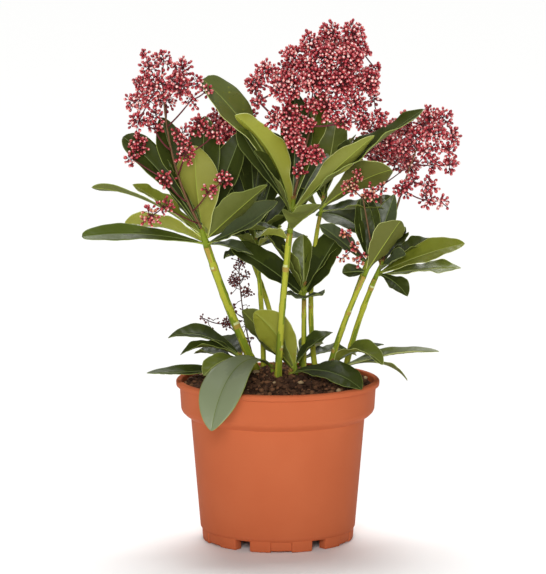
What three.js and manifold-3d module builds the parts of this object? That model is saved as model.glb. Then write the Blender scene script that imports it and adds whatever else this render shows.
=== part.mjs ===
// A flowering skimmia in a round nursery pot, millimetres, +Z up.
// The pot stands on its feet at Z = 0, the middle of the pot is on the Z axis, and the front is -Y.
import * as THREE from "three";
import { mergeVertices } from "three/addons/utils/BufferGeometryUtils.js";
import Module from "manifold-3d";

const wasm = await Module();
wasm.setup();

// ---- driving sizes ----
const LIP_R = 70;
const LIP_TOP = 111;
const LIP_TALL = 4;
const COLLAR_TOP_R = 67.5;
const COLLAR_LOW_R = 66.5;
const COLLAR_LOW = 91;
const BODY_TOP_R = 59.8;
const BODY_TOP = 84.7;
const BODY_LOW_R = 53.4;
const BODY_LOW = 9;
const HEEL_R = 52.2;
const WALL = 1.8;
const FOOT_TALL = 7;
const FOOT_COUNT = 6;
const FOOT_DEG = 48;
const FOOT_IN_R = 45;
const FOOT_TURN_DEG = -87.4;
const FOOT_RELIEF = 0.8;
const FOOT_RELIEF_DEG = 16;
const POT_SIDES = 42;
const SOIL_EDGE = 107;
const SOIL_RISE = 7;
const SOIL_R = 65;
const GAP = 0.3;
const HEAD_GAP = 0.9;
const SUNK = 5;
const LEAF_THICK = 0.013;
const LEAF_STEPS = [0, 0.28, 0.62, 0.87, 1];
const SMALL_KNOT_R = 6;
const FORK_SHARE = 0.75;
const KNOT_DIP = 0.52;

// ---- colours ----
const LOOKS = {
  pot: ["#cd6b48", 0.6],
  soil: ["#3a2a20", 0.95],
  stem: ["#96a52c", 0.6],
  leaf: ["#46632f", 0.45],
  flower: ["#a83a45", 0.6],
  dried: ["#5b2530", 0.8],
};

// ---- stems: foot [x, y] in the soil, bow of the middle [x, y], top [x, y, z], radius at foot and top ----
const STEMS = {
  left: { foot: [-12, 12], bow: [-2, 2], top: [-48, -19, 205], radius: [3.1, 2.6] },
  front: { foot: [0, -12], bow: [-1, -1], top: [8, -20, 214], radius: [2.5, 2.1] },
  slim_left: { foot: [-10, 36], bow: [1, 0], top: [-14, 22, 190], radius: [1.9, 1.5] },
  back_left: { foot: [2, 46], bow: [4, 0], top: [-20, 42, 192], radius: [2, 1.5] },
  middle: { foot: [18, 16], bow: [0, 0], top: [18, 12, 164], radius: [2, 1.6] },
  middle_tall: { foot: [27, 30], bow: [-5, 0], top: [29, 12, 222], radius: [2, 1.4] },
  right: { foot: [33, 6], bow: [-2, 0], top: [59, 0, 182], radius: [2.1, 1.8] },
  far_right: { foot: [45, 22], bow: [-2, 2], top: [67, 15, 178], radius: [2.2, 1.8] },
  back_right: { foot: [33, 42], bow: [0, 2], top: [64, 46, 190], radius: [2, 1.5] },
};

// ---- shoots: a leafy tip on a stem, or a short shoot that stands in the soil ----
// Each leaf: how far up the shoot, heading, rise, length, width, droop, roll, fold (mm and degrees).
// A heading of 0 is to the right, 90 to the back, 180 to the left and 270 to the front.
const SHOOTS = {
  left: { on: "left", tall: 14, leaves: [
    [2, 212, 76, 68, 32, -16, 8, 15],
    [1.5, 192, 14, 86, 17, 21, -32, 10],
    [3, 165, 24, 59, 27, 30, 30, 15],
    [6, 186, 42, 86, 14, 39, -8, 15],
    [8, 187, 38, 60, 17, 2, -30, 15],
    [5, 348, 43, 58, 26, 3, -42, 15],
    [1.5, 328, 21, 66, 24, -20, 38, 15],
    [1.5, 15, 0, 34, 16, 40, 20, 10],
    [7, 176, 61, 88, 24, 23, -50, 15],
    [10, 150, 66, 84, 24, 0, -20, 15],
    [10, 85, 80, 80, 24, 0, 0, 15],
    [10, 45, 64, 76, 24, 10, 30, 15],
    [4, 120, 40, 64, 20, 20, 0, 15],
  ] },
  front: { on: "front", tall: 25, leaves: [
    [16, 180, 66, 108, 33, 24, -50, 12],
    [12, 196, 80, 82, 22, 46, 40, 40],
    [16, 2, 40, 112, 25, 6, 15, 20],
    [14, 348, 47, 78, 16, 8, -50, 20],
    [2, 302, 30, 44, 40, 2, 12, 12],
    [18, 45, 72, 82, 24, 10, 20, 15],
    [13.5, 150, 56, 70, 26, 10, -20, 15],
    [11.5, 205, 67, 54, 20, 20, -30, 15],
    [18, 90, 78, 80, 24, 5, 10, 15],
    [8, 62, 46, 66, 24, 20, 15, 15],
    [12, 110, 55, 70, 24, 15, -10, 15],
  ] },
  slim_left: { on: "slim_left", tall: 16, leaves: [
    [14, 160, 66, 84, 26, 10, -35, 15],
    [14, 100, 74, 78, 24, 10, 10, 15],
    [8, 185, 44, 46, 18, 20, -40, 15],
    [6, 215, 50, 28, 16, 50, 0, 20],
    [8, 303, 32, 34, 16, 6, 20, 15],
    [10, 20, 55, 44, 20, 10, 40, 15],
    [12, 215, 62, 52, 22, 14, -20, 15],
    [14, 50, 70, 66, 22, 10, 20, 15],
    [4, 175, 10, 24, 16, 40, -20, 15],
  ] },
  back_left: { on: "back_left", tall: 18, leaves: [
    [14, 116, 62, 66, 24, 20, -20, 15],
    [14, 80, 68, 66, 24, 20, 0, 15],
    [12, 150, 45, 60, 22, 30, -10, 15],
    [12, 95, 56, 48, 22, 35, 0, 15],
    [8, 60, 42, 44, 20, 40, 0, 15],
    [8, 130, 34, 46, 20, 40, 0, 15],
  ] },
  middle: { on: "middle", tall: 12, leaves: [
    [3, 345, 62, 52, 26, 6, 60, 15],
    [2, 186, 42, 62, 24, 16, -40, 15],
    [5, 95, 80, 40, 17, 0, -20, 15],
    [6, 225, 60, 40, 16, 10, -20, 15],
    [2, 272, 12, 27, 27, 16, 0, 8],
  ] },
  middle_tall: { on: "middle_tall", tall: 14, leaves: [
    [6, 334, 39, 60, 27, 24, -45, 15],
    [12, 20, 66, 50, 20, 10, 0, 15],
    [12, 76, 62, 66, 27, 16, 0, 15],
    [10, 150, 60, 50, 18, 10, -20, 15],
  ] },
  right: { on: "right", tall: 14, leaves: [
    [8, 189, 41, 45, 16, 5, -40, 12],
    [3, 195, 8, 17, 12, 20, -60, 15],
    [8, 150, 80, 46, 17, 0, -40, 15],
    [7, 90, 82, 48, 16, 0, 10, 15],
    [6, 30, 66, 54, 16, 0, 40, 15],
    [2, 339, 57, 45, 25, 2, -35, 12],
  ] },
  far_right: { on: "far_right", tall: 14, leaves: [
    [8, 14, 33, 42, 18, 13, 15, 15],
    [3, 346, 27, 66, 22, 14, 35, 12],
    [2, 1, 10, 59, 16, 11, 24, 12],
    [4, 310, -7, 34, 14, 35, 20, 15],
    [6, 320, 35, 27, 19, 18, 30, 12],
    [10, 100, 62, 36, 20, 15, 10, 15],
    [8, 71, 30, 54, 20, 25, 0, 15],
  ] },
  back_right: { on: "back_right", tall: 20, leaves: [
    [14, 75, 50, 40, 22, 20, 10, 15],
    [14, 100, 60, 36, 22, 20, 0, 15],
    [14, 80, 34, 40, 22, 30, 0, 15],
    [12, 80, 54, 42, 22, 35, 0, 15],
    [10, 150, 40, 52, 26, 44, -35, 15],
    [13.5, 30, 14, 24, 18, 20, 0, 15],
  ] },
  low_left: { at: [-20, 4], lean: [-0.3, -0.1], tall: 16, leaves: [
    [13, 162, 36, 58, 19, 54, -15, 12],
    [11, 182, 38, 46, 15, 79, -10, 12],
    [8, 205, 10, 28, 14, 30, -10, 12],
    [11, 227, 16, 40, 17, 62, -15, 12],
    [3, 191, 3, 69, 14, 8, -20, 12],
    [10, 110, 20, 62, 18, 30, 0, 12],
    [6, 150, 26, 42, 18, 40, 0, 12],
  ] },
  low_middle: { at: [13, 1], lean: [-0.1, 0.1], tall: 14, leaves: [
    [4, 180, 67, 49, 26, 30, 70, 12],
    [2, 166, 49, 56, 27, 4, 60, 12],
    [6, 22, 52, 36, 18, 34, 0, 12],
  ] },
  low_right: { at: [35, -5], lean: [0.2, 0.1], tall: 14, leaves: [
    [8, 318, 52, 51, 19, 106, 10, 25],
    [4, 0, 26, 76, 16, 38, 14, 12],
    [10, 36, 26, 45, 12, 37, 5, 12],
    [3, 11, 30, 60, 10, 85, 0, 12],
  ] },
  low_back: { at: [16, 40], lean: [0, 0.2], tall: 10, leaves: [
    [8, 75, 24, 42, 18, 50, 0, 12],
    [8, 120, 24, 43, 18, 50, 0, 12],
    [6, 35, 16, 50, 18, 40, 0, 12],
  ] },
  rim_left: { at: [-3, 6], lean: [-0.1, 0], tall: 6, leaves: [
    [4, 246, 26, 117, 29, 97, -8, 12],
  ] },
  rim_right: { at: [8, -7], lean: [0.1, 0], tall: 4, leaves: [
    [2, 322, 17, 63, 26, 50, 20, 12],
  ] },
};

// ---- flower heads: a branching stalk with a knot of buds at the end of each branch ----
// Each knot: across, back and up from the start of the head, and its radius.
const FLOWERS = {
  left: { on: "left", stalk: [1, 1, 0], tip: [-27, 3, 108], bow: [-6, 0, -6], knots: [
    [-26, 2, 113, 7], [-35, -6, 108, 7], [-14, 4, 107, 7], [-41, 2, 97, 7], [-30, -12, 97, 9],
    [-16, -10, 97, 9], [-3, -6, 98, 6], [-44, -4, 85, 7], [-35, -14, 87, 6], [-7, -6, 87, 6],
    [-25, 12, 85, 8], [-36, 14, 95, 8], [-17, 17, 96, 8], [-42, -8, 73, 7], [-32, -4, 67, 5],
    [-14, -10, 64, 7], [-2, 2, 68, 7], [9, -4, 64, 7], [18, 8, 65, 4], [-43, 0, 56, 7],
    [-47, -6, 47, 5], [-24, -8, 33, 6], [-25, -24, 17, 6], [-34, -31, 11, 6], [5, -12, 26, 5],
    [14, -10, 33, 6], [-38, 2, 117, 4], [3, -6, 93, 5], [-31, 0, 75, 6], [-11, -12, 51, 7],
  ] },
  top: { on: "front", stalk: [2, 2, 2], tip: [26, 8, 104], bow: [-2, 0, -4], knots: [
    [23, 2, 107, 8], [9, -4, 100, 8], [37, 4, 107, 8], [-2, 2, 91, 8], [18, -12, 92, 10], [34, -12, 91, 10],
    [43, 6, 96, 7], [-5, -10, 74, 9], [12, -18, 76, 10], [29, -20, 75, 10], [47, -8, 74, 9],
    [9, -14, 60, 6], [21, -16, 59, 9], [39, -10, 60, 8], [52, 4, 63, 5], [-29, 4, 73, 7], [-21, -4, 82, 7],
    [-12, -8, 70, 8], [-26, -6, 62, 5], [-9, 6, 79, 8], [-14, -8, 50, 7], [-4, -10, 41, 7],
    [-6, -14, 53, 8], [6, -16, 47, 6], [-1, -14, 34, 6], [5, -8, 27, 6], [12, -16, 27, 6], [2, -2, 15, 5],
    [55, -8, 51, 6], [43, -6, 50, 7], [20, 24, 97, 9], [36, 26, 93, 9], [10, 26, 75, 9], [30, 21, 76, 10],
    [47, 18, 75, 8], [31, -12, 49, 6], [5, -8, 85, 7], [53, 4, 83, 4],
  ] },
  right: { on: "far_right", stalk: [4, 0, 30], tip: [24, -2, 62], bow: [-3, 0, -3], knots: [
    [11, -6, 65, 7], [26, -2, 69, 7], [36, 2, 67, 7], [43, -2, 55, 6], [30, -12, 58, 8], [17, -12, 56, 7],
    [25, 12, 60, 8], [12, 10, 58, 7], [-13, -14, 52, 6], [-1, -12, 52, 7], [9, -6, 47, 6], [9, -4, 19, 6],
    [16, -8, 25, 5], [26, 0, 11, 6], [35, -2, 11, 5], [41, 2, 35, 6], [29, 6, 35, 6], [26, -8, 46, 7],
    [40, -4, 45, 6], [12, 2, 37, 5], [26, -6, 22, 6], [1, -8, 62, 5], [39, -2, 7, 3],
  ] },
  small: { on: "right", stalk: [-6, -6, 0], tip: [-2, -6, 44], bow: [0, 0, 0], knots: [
    [-9, -7, 49, 6], [3, -9, 45, 6], [11, -5, 48, 4], [-5, -3, 56, 4], [-13, -4, 17, 4], [-7, -4, 8, 4],
    [-2, 0, 2, 3], [-14, -4, 1, 4], [-4, -1, -3, 4],
  ] },
  back_left: { on: "back_left", stalk: [0, 0, 0], tip: [-2, 6, 66], bow: [0, 0, 0], knots: [
    [-12, 4, 74, 9], [4, 6, 76, 9], [-4, 18, 70, 9], [-18, 12, 62, 9], [12, 14, 62, 9],
    [-4, -6, 66, 8], [-24, 0, 54, 8], [16, 8, 54, 8], [0, 24, 56, 8], [-14, 20, 50, 8],
    [10, 18, 46, 7], [-8, 8, 40, 6],
  ] },
  back_right: { on: "back_right", stalk: [0, 0, 0], tip: [2, 4, 58], bow: [0, 0, 0], knots: [
    [-4, 2, 66, 8], [10, 4, 66, 8], [2, 14, 62, 8], [-12, 8, 54, 8], [18, 10, 54, 8],
    [4, -8, 56, 8], [-2, 20, 46, 7], [12, 20, 44, 7], [20, -4, 44, 7],
  ] },
  dried: { at: [-13, 26], stalk: [0, 0, 0], tip: [-14, 0, 74], bow: [-3, 0, 0], knots: [
    [-17, -2, 63, 4], [-22, -3, 33, 4], [-8, 2, 55, 4], [-19, -2, 43, 4], [-12, 0, 76, 4], [-38, -6, 37, 3],
    [-9, 3, 66, 3],
  ] },
};

const rad = THREE.MathUtils.degToRad;
const vec = (x, y, z) => new THREE.Vector3(x, y, z);

// ---- closed solids from three.js geometry ----
function solid(geometry) {
  const plain = new THREE.BufferGeometry();
  plain.setAttribute("position", geometry.getAttribute("position"));
  plain.setIndex(geometry.getIndex());
  const merged = mergeVertices(plain, 1e-4);
  return new wasm.Manifold(new wasm.Mesh({
    numProp: 3,
    vertProperties: new Float32Array(merged.getAttribute("position").array),
    triVerts: new Uint32Array(merged.getIndex().array),
  }));
}

function joined(solids) {
  return solids.reduce((whole, next) => whole.add(next)).asOriginal().simplify(0.05);
}

// ---- a tapering rod along a curve ----
function rod(curve, footRadius, topRadius, sides, steps) {
  const geometry = new THREE.CylinderGeometry(1, 1, 1, sides, steps);
  const at = geometry.getAttribute("position");
  for (let i = 0; i < at.count; i++) {
    const t = Math.min(1, Math.max(0, at.getY(i) + 0.5));
    const along = curve.getTangent(t);
    const side = vec(0, 1, 0).cross(along).normalize();
    const front = side.clone().cross(along);
    const r = footRadius + (topRadius - footRadius) * t;
    const p = curve.getPoint(t);
    p.addScaledVector(side, at.getX(i) * r);
    p.addScaledVector(front, at.getZ(i) * r);
    at.setXYZ(i, p.x, p.y, p.z);
  }
  return solid(geometry);
}

function bowed(foot, bow, top) {
  const control = foot.clone().add(top).multiplyScalar(0.5).addScaledVector(bow, 2);
  return new THREE.QuadraticBezierCurve3(foot, control, top);
}

// ---- the soil's surface ----
function soilHeight(x, y) {
  return SOIL_EDGE + SOIL_RISE * (1 - (x * x + y * y) / (SOIL_R * SOIL_R));
}

// ---- leaf: narrow stalk, widest past the middle, short blunt tip ----
function leafWidth(s) {
  if (s < 0.05) return 0.12;
  const u = (s - 0.05) / 0.95;
  return 0.12 * (1 - u) + 0.97 * Math.max(0, Math.sin(Math.PI * u ** 1.65)) ** 0.85;
}

function leafHeading(row, s) {
  const rise = rad(row[2] - row[5] * s ** 1.3);
  const turn = rad(row[1]);
  return vec(Math.cos(rise) * Math.cos(turn), Math.cos(rise) * Math.sin(turn), Math.sin(rise));
}

function leafMiddle(root, row, s) {
  const p = root.clone();
  const strides = 24;
  for (let k = 0; k < strides; k++) {
    p.addScaledVector(leafHeading(row, (s * (k + 0.5)) / strides), (row[3] * s) / strides);
  }
  return p;
}

function leaf(root, row) {
  const [, heading, , length, width, , roll, fold] = row;
  const last = LEAF_STEPS.length - 1;
  const geometry = new THREE.ConeGeometry(1, 1, 4, last);
  const at = geometry.getAttribute("position");
  const level = vec(-Math.sin(rad(heading)), Math.cos(rad(heading)), 0);
  for (let i = 0; i < at.count; i++) {
    const step = Math.round((at.getY(i) + 0.5) * last);
    const s = LEAF_STEPS[step];
    const along = leafHeading(row, s);
    const over = along.clone().cross(level);
    const side = level.clone().multiplyScalar(Math.cos(rad(roll))).addScaledVector(over, Math.sin(rad(roll)));
    const up = along.clone().cross(side);
    const spread = 1 - step / last;
    const across = spread > 0 ? at.getX(i) / spread : 0;
    const under = spread > 0 ? at.getZ(i) / spread : 0;
    const half = (leafWidth(s) * width) / 2;
    const thick = (length * LEAF_THICK * (1 - 0.5 * s)) / 2;
    const p = leafMiddle(root, row, s);
    p.addScaledVector(side, across * half * Math.cos(rad(fold)));
    p.addScaledVector(up, Math.abs(across) * half * Math.sin(rad(fold)) - under * thick);
    at.setXYZ(i, p.x, p.y, p.z);
  }
  return solid(geometry);
}

// ---- where a stem or a shoot runs ----
function stemLine(stem) {
  const foot = vec(stem.foot[0], stem.foot[1], soilHeight(...stem.foot) - SUNK);
  return bowed(foot, vec(stem.bow[0], stem.bow[1], 0), vec(...stem.top));
}

function shootLine(shoot) {
  if (shoot.at) {
    const foot = vec(shoot.at[0], shoot.at[1], soilHeight(...shoot.at) - SUNK);
    const lean = vec(shoot.lean[0], shoot.lean[1], 1).normalize();
    return [foot, foot.clone().addScaledVector(lean, shoot.tall + SUNK), lean];
  }
  const line = stemLine(STEMS[shoot.on]);
  const lean = line.getTangent(1);
  const foot = vec(...STEMS[shoot.on].top).addScaledVector(lean, GAP);
  return [foot, foot.clone().addScaledVector(lean, shoot.tall), lean];
}

function shootSolid(shoot) {
  const [foot, tip, lean] = shootLine(shoot);
  const radius = shoot.at ? 1.8 : STEMS[shoot.on].radius[1];
  const start = shoot.at ? foot.clone().addScaledVector(lean, SUNK) : foot;
  const parts = [rod(new THREE.LineCurve3(foot, tip), radius, radius * 0.6, 6, 1)];
  for (const row of shoot.leaves) {
    parts.push(leaf(start.clone().addScaledVector(lean, row[0]), row));
  }
  return joined(parts);
}

// ---- flower heads ----
function knotSolid(centre, radius, turn) {
  const geometry = new THREE.OctahedronGeometry(radius, radius < SMALL_KNOT_R ? 0 : 1);
  const at = geometry.getAttribute("position");
  for (let i = 0; i < at.count; i++) {
    const p = vec(at.getX(i), at.getY(i), at.getZ(i));
    const bud = Math.max(Math.abs(p.x), Math.abs(p.y), Math.abs(p.z)) > 0.99 * radius;
    p.multiplyScalar(bud ? 1 : KNOT_DIP);
    at.setXYZ(i, p.x, p.y, p.z);
  }
  geometry.rotateX(0.6 + 0.3 * (turn % 3)).rotateZ(turn * 1.3);
  return solid(geometry.translate(centre.x, centre.y, centre.z));
}

function flowerAxis(head) {
  let foot;
  let start;
  if (head.at) {
    foot = vec(head.at[0], head.at[1], soilHeight(...head.at) - SUNK);
    start = foot.clone().add(vec(0, 0, SUNK));
  } else {
    const [, shootTip, lean] = shootLine(SHOOTS[head.on]);
    foot = shootTip.addScaledVector(lean, HEAD_GAP);
    start = foot.clone().add(vec(...head.stalk));
  }
  const tip = start.clone().add(vec(...head.tip));
  return { start, line: bowed(foot, vec(...head.bow), tip), low: foot.z, tall: tip.z - foot.z };
}

function axisPoint(axis, centre) {
  let t = (centre.z - axis.low) / axis.tall;
  for (let pass = 0; pass < 6; pass++) {
    const a = axis.line.getPoint(Math.min(0.95, Math.max(0.03, t)));
    const away = Math.hypot(centre.x - a.x, centre.y - a.y);
    t = (centre.z - axis.low - 0.75 * away) / axis.tall;
  }
  return axis.line.getPoint(Math.min(0.95, Math.max(0.03, t)));
}

// Each branch, as its two ends: from the axis to a knot, or from a knot further in where that is much nearer.
function knotBranches(axis, knots) {
  const centres = knots.map((knot) => axis.start.clone().add(vec(knot[0], knot[1], knot[2])));
  return centres.map((centre) => {
    let from = axisPoint(axis, centre);
    let shortest = FORK_SHARE * centre.distanceTo(from);
    for (const other of centres) {
      const away = centre.distanceTo(other);
      const further = other.distanceTo(axis.start) < centre.distanceTo(axis.start);
      if (further && away < shortest) {
        from = other;
        shortest = away;
      }
    }
    return [from, centre];
  });
}

function flowerSolid(head) {
  const axis = flowerAxis(head);
  const parts = [rod(axis.line, 1.3, 0.8, 5, 5)];
  knotBranches(axis, head.knots).forEach(([from, centre], i) => {
    parts.push(rod(new THREE.LineCurve3(from, centre), 0.8, 0.6, 3, 1));
    parts.push(knotSolid(centre, head.knots[i][3], i));
  });
  return joined(parts);
}

// ---- pot: thin wall with a stepped collar, a rounded lip and six feet ----
function potShell() {
  const lipLow = LIP_TOP - LIP_TALL;
  const profile = [
    [0, FOOT_TALL],
    [HEEL_R, FOOT_TALL],
    [HEEL_R, FOOT_TALL + 0.7],
    [BODY_LOW_R, BODY_LOW],
    [BODY_TOP_R, BODY_TOP],
    [BODY_TOP_R + 3.6, BODY_TOP + 2.2],
    [COLLAR_LOW_R - 0.9, COLLAR_LOW - 2],
    [COLLAR_LOW_R, COLLAR_LOW],
    [COLLAR_TOP_R, lipLow],
    [LIP_R - 0.6, lipLow],
    [LIP_R, lipLow + 1],
    [LIP_R, LIP_TOP - 1],
    [LIP_R - 1, LIP_TOP],
    [COLLAR_TOP_R - WALL + 0.6, LIP_TOP],
    [COLLAR_TOP_R - WALL, LIP_TOP - 0.6],
    [COLLAR_LOW_R - WALL, COLLAR_LOW],
    [BODY_TOP_R - WALL, BODY_TOP],
    [BODY_LOW_R - WALL, BODY_LOW + WALL],
    [0, BODY_LOW + WALL],
  ];
  const lathe = new THREE.LatheGeometry(profile.map(([r, z]) => new THREE.Vector2(r, z)), POT_SIDES);
  return solid(lathe.rotateX(Math.PI / 2));
}

function ringSector(innerRadius, outerRadius, low, high, middleDeg, spanDeg) {
  const from = rad(middleDeg - spanDeg / 2);
  const to = rad(middleDeg + spanDeg / 2);
  const shape = new THREE.Shape();
  shape.absarc(0, 0, outerRadius, from, to, false);
  shape.absarc(0, 0, innerRadius, to, from, true);
  shape.closePath();
  const geometry = new THREE.ExtrudeGeometry(shape, { depth: high - low, bevelEnabled: false, curveSegments: 4 });
  return solid(geometry.translate(0, 0, low));
}

function potSolid() {
  let pot = potShell();
  for (let k = 0; k < FOOT_COUNT; k++) {
    const middle = FOOT_TURN_DEG + (k * 360) / FOOT_COUNT;
    const upper = ringSector(FOOT_IN_R, HEEL_R, 1.2, FOOT_TALL + 0.5, middle, FOOT_DEG);
    const toe = ringSector(FOOT_IN_R + 1, HEEL_R - 0.6, 0, 2, middle, FOOT_DEG - 3);
    const relief = ringSector(FOOT_IN_R - 1, HEEL_R + 1, -1, FOOT_RELIEF, middle, FOOT_RELIEF_DEG);
    pot = pot.add(upper.add(toe).subtract(relief));
  }
  return pot.asOriginal().simplify(0.02);
}

// ---- soil: fills the pot a hair clear of its wall, heaped in the middle ----
function soilSolid() {
  const foot = BODY_LOW + WALL + GAP;
  const clear = WALL + GAP + 0.1;
  const profile = [
    [0, foot],
    [BODY_LOW_R - clear, foot],
    [BODY_TOP_R - clear - 0.4, BODY_TOP],
    [COLLAR_LOW_R - clear - 0.6, COLLAR_LOW + 0.6],
    [SOIL_R, SOIL_EDGE],
    [SOIL_R * 0.75, soilHeight(SOIL_R * 0.75, 0)],
    [SOIL_R * 0.45, soilHeight(SOIL_R * 0.45, 0)],
    [0, soilHeight(0, 0)],
  ];
  const lathe = new THREE.LatheGeometry(profile.map(([r, z]) => new THREE.Vector2(r, z)), 36);
  let soil = solid(lathe.rotateX(Math.PI / 2));
  const feet = Object.values(STEMS).map((stem) => [stemLine(stem), stem.radius[0]]);
  for (const shoot of Object.values(SHOOTS).filter((s) => s.at)) {
    const [foot, tip] = shootLine(shoot);
    feet.push([new THREE.LineCurve3(foot, tip), 1.8]);
  }
  for (const head of Object.values(FLOWERS).filter((h) => h.at)) feet.push([flowerAxis(head).line, 1.3]);
  for (const [line, radius] of feet) {
    const lean = line.getTangent(0);
    const low = line.getPoint(0).addScaledVector(lean, -GAP);
    const high = low.clone().addScaledVector(lean, 2 * SUNK + 2);
    soil = soil.subtract(rod(new THREE.LineCurve3(low, high), radius + GAP, radius + 3 * GAP, 8, 1));
  }
  return soil.asOriginal().simplify(0.05);
}

// ---- the group of named pieces ----
const plant = new THREE.Group();

function addPiece(name, whole, look) {
  const mesh = whole.getMesh();
  const geometry = new THREE.BufferGeometry();
  geometry.setAttribute("position", new THREE.BufferAttribute(new Float32Array(mesh.vertProperties), 3));
  geometry.setIndex(new THREE.BufferAttribute(new Uint32Array(mesh.triVerts), 1));
  geometry.computeVertexNormals();
  const [color, roughness] = LOOKS[look];
  const piece = new THREE.Mesh(geometry, new THREE.MeshStandardMaterial({ color, roughness, metalness: 0 }));
  piece.name = name;
  plant.add(piece);
}

addPiece("pot", potSolid(), "pot");
addPiece("soil", soilSolid(), "soil");
for (const [name, stem] of Object.entries(STEMS)) {
  addPiece("stem_" + name, rod(stemLine(stem), stem.radius[0], stem.radius[1], 8, 5), "stem");
}
for (const [name, shoot] of Object.entries(SHOOTS)) {
  addPiece("leaves_" + name, shootSolid(shoot), "leaf");
}
for (const [name, head] of Object.entries(FLOWERS)) {
  addPiece("flowers_" + name, flowerSolid(head), name === "dried" ? "dried" : "flower");
}

export default plant;
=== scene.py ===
"""A flowering skimmia in a round nursery pot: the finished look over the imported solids.

Sizes are in millimetres and turned to metres when a mesh is made. The pot stands at Z = 0 with its
middle on the Z axis, and the front is -Y. Stems, shoots and flower heads follow the same tables and
rules as the solids, and are carried on from there to veins, margins, single buds and crumbs of soil.
"""

import itertools
import math
import random

import bmesh
import bpy
import numpy as np
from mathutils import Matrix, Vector, noise


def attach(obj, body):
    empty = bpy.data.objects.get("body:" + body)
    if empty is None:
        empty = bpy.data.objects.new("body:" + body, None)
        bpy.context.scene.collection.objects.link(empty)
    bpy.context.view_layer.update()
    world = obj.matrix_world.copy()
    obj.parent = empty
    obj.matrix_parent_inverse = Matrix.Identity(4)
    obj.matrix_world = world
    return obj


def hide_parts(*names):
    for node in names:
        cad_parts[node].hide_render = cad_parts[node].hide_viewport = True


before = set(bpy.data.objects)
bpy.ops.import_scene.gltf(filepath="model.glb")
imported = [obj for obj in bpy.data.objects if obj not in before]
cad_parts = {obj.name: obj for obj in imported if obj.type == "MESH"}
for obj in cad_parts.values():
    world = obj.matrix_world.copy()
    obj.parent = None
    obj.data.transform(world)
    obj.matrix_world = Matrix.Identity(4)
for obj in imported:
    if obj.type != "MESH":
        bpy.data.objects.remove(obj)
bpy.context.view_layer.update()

MM = 0.001

# ---- pot and soil ----
LIP_R = 70
LIP_TOP = 111
LIP_TALL = 4
COLLAR_TOP_R = 67.5
COLLAR_LOW_R = 66.5
COLLAR_LOW = 91
BODY_TOP_R = 59.8
BODY_TOP = 84.7
BODY_LOW_R = 53.4
BODY_LOW = 9
HEEL_R = 52.2
WALL = 1.8
FOOT_TALL = 7
FOOT_COUNT = 6
FOOT_DEG = 48
FOOT_IN_R = 45
FOOT_TURN_DEG = -87.4
FOOT_RELIEF = 0.8
FOOT_RELIEF_DEG = 16
SOIL_EDGE = 107
SOIL_RISE = 7
SOIL_R = 65
GAP = 0.3
HEAD_GAP = 0.9
SUNK = 5

# foot: where a stem leaves the soil. bow: how far its middle is off the straight line. top: its tip, and
# radius: at foot and top.
STEMS = {
  "left": {"foot": [-12, 12], "bow": [-2, 2], "top": [-48, -19, 205], "radius": [3.1, 2.6]},
  "front": {"foot": [0, -12], "bow": [-1, -1], "top": [8, -20, 214], "radius": [2.5, 2.1]},
  "slim_left": {"foot": [-10, 36], "bow": [1, 0], "top": [-14, 22, 190], "radius": [1.9, 1.5]},
  "back_left": {"foot": [2, 46], "bow": [4, 0], "top": [-20, 42, 192], "radius": [2, 1.5]},
  "middle": {"foot": [18, 16], "bow": [0, 0], "top": [18, 12, 164], "radius": [2, 1.6]},
  "middle_tall": {"foot": [27, 30], "bow": [-5, 0], "top": [29, 12, 222], "radius": [2, 1.4]},
  "right": {"foot": [33, 6], "bow": [-2, 0], "top": [59, 0, 182], "radius": [2.1, 1.8]},
  "far_right": {"foot": [45, 22], "bow": [-2, 2], "top": [67, 15, 178], "radius": [2.2, 1.8]},
  "back_right": {"foot": [33, 42], "bow": [0, 2], "top": [64, 46, 190], "radius": [2, 1.5]},
}

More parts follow.
